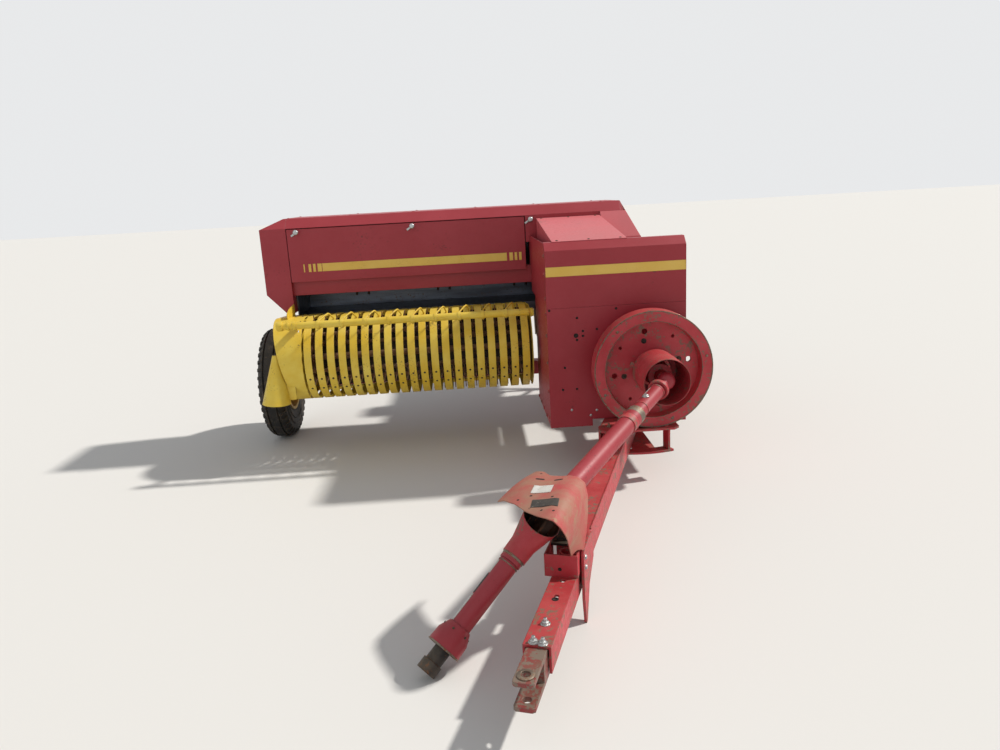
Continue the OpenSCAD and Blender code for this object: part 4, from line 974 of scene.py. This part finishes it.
class BALER_OT_stage(BalerStep, bpy.types.Operator):
    """Makes the floor, the lights, the world and the camera"""
    bl_idname = "baler.stage"
    bl_label = "Stage"

    def make(self, settings):
        scene = bpy.context.scene
        bm = bmesh.new()
        bmesh.ops.create_grid(bm, x_segments=8, y_segments=8, size=60)
        mesh = bpy.data.meshes.new("studio_floor")
        bm.to_mesh(mesh)
        bm.free()
        floor = bpy.data.objects.new("studio_floor", mesh)
        scene.collection.objects.link(floor)
        # Even matt paint, rolled on.
        mat = bpy.data.materials.new("floor_matt_pale")
        mat.use_nodes = True
        for name, value in (("Base Color", (*settings.floor_colour, 1)), ("Roughness", 0.9),
                            ("Specular IOR Level", 0.2)):
            mat.node_tree.nodes["Principled BSDF"].inputs[name].default_value = value
        mesh.materials.append(mat)
        world = bpy.data.worlds.new("studio_sky")
        world.use_nodes = True
        scene.world = world
        tree = world.node_tree
        tree.nodes.clear()
        seen = add(tree, "LightPath").outputs
        direct = maths(tree, "MAXIMUM", seen["Is Camera Ray"], seen["Is Glossy Ray"])
        shown = maths(tree, "MAXIMUM", direct, seen["Is Transmission Ray"])
        fill = add(tree, "Background", inputs={"Color": (0.93, 0.96, 1.0, 1), "Strength": 0.42})
        back = add(tree, "Background", inputs={"Color": (0.90, 0.91, 0.92, 1), "Strength": 0.9})
        mix = add(tree, "MixShader", inputs={0: shown, 1: fill.outputs[0], 2: back.outputs[0]})
        add(tree, "OutputWorld", inputs={0: mix.outputs[0]})
        for name, way, strength, angle, colour in (
                ("sun_key", (-0.70, -0.12, -0.70), 3.4, 3, (1.0, 0.97, 0.92)),
                ("sun_fill", (0.45, 0.80, -0.40), 0.25, 60, (0.92, 0.96, 1.0))):
            lamp = bpy.data.lights.new(name, "SUN")
            lamp.energy = strength
            lamp.angle = radians(angle)
            lamp.color = colour
            ob = bpy.data.objects.new(name, lamp)
            ob.rotation_euler = Vector(way).to_track_quat("-Z", "Y").to_euler()
            scene.collection.objects.link(ob)
        camera = bpy.data.objects.new("camera", bpy.data.cameras.new("camera"))
        camera.data.sensor_width = 36
        camera.data.lens = settings.lens
        camera.data.clip_end = 200
        # Solved from the photo's vanishing points.
        camera.location = P(-780, -3990, 1550)
        camera.rotation_euler = [radians(a) for a in (76.5384, 3.0683, -2.7341)]
        scene.collection.objects.link(camera)
        scene.camera = camera
        scene.view_settings.view_transform = "Standard"


STEPS = (BALER_OT_finishes, BALER_OT_stripes, BALER_OT_shield_fasteners, BALER_OT_latches,
         BALER_OT_pickup_details, BALER_OT_wind_guard, BALER_OT_wheels, BALER_OT_flywheel_details,
         BALER_OT_shaft_details, BALER_OT_tongue_details, BALER_OT_joint_cover,
         BALER_OT_case_details, BALER_OT_drive_details, BALER_OT_stage)


class BALER_PT_panel(bpy.types.Panel):
    """Lists the baler's settings and steps"""
    bl_label = "Square baler"
    bl_space_type = "VIEW_3D"
    bl_region_type = "UI"
    bl_category = "Baler"

    def draw(self, context):
        for name in ("bolt_across", "stripe_height", "lens", "lugs", "floor_colour"):
            self.layout.prop(context.scene.baler, name)
        for step in STEPS:
            self.layout.operator(step.bl_idname)


CLASSES = (BalerSettings, *STEPS, BALER_PT_panel)


def register():
    for cls in CLASSES:
        bpy.utils.register_class(cls)
    bpy.types.Scene.baler = PointerProperty(type=BalerSettings)


def unregister():
    del bpy.types.Scene.baler
    for cls in reversed(CLASSES):
        bpy.utils.unregister_class(cls)


def main():
    register()
    for step in STEPS:
        group, name = step.bl_idname.split(".")
        getattr(getattr(bpy.ops, group), name)()


if __name__ == "__main__":
    main()
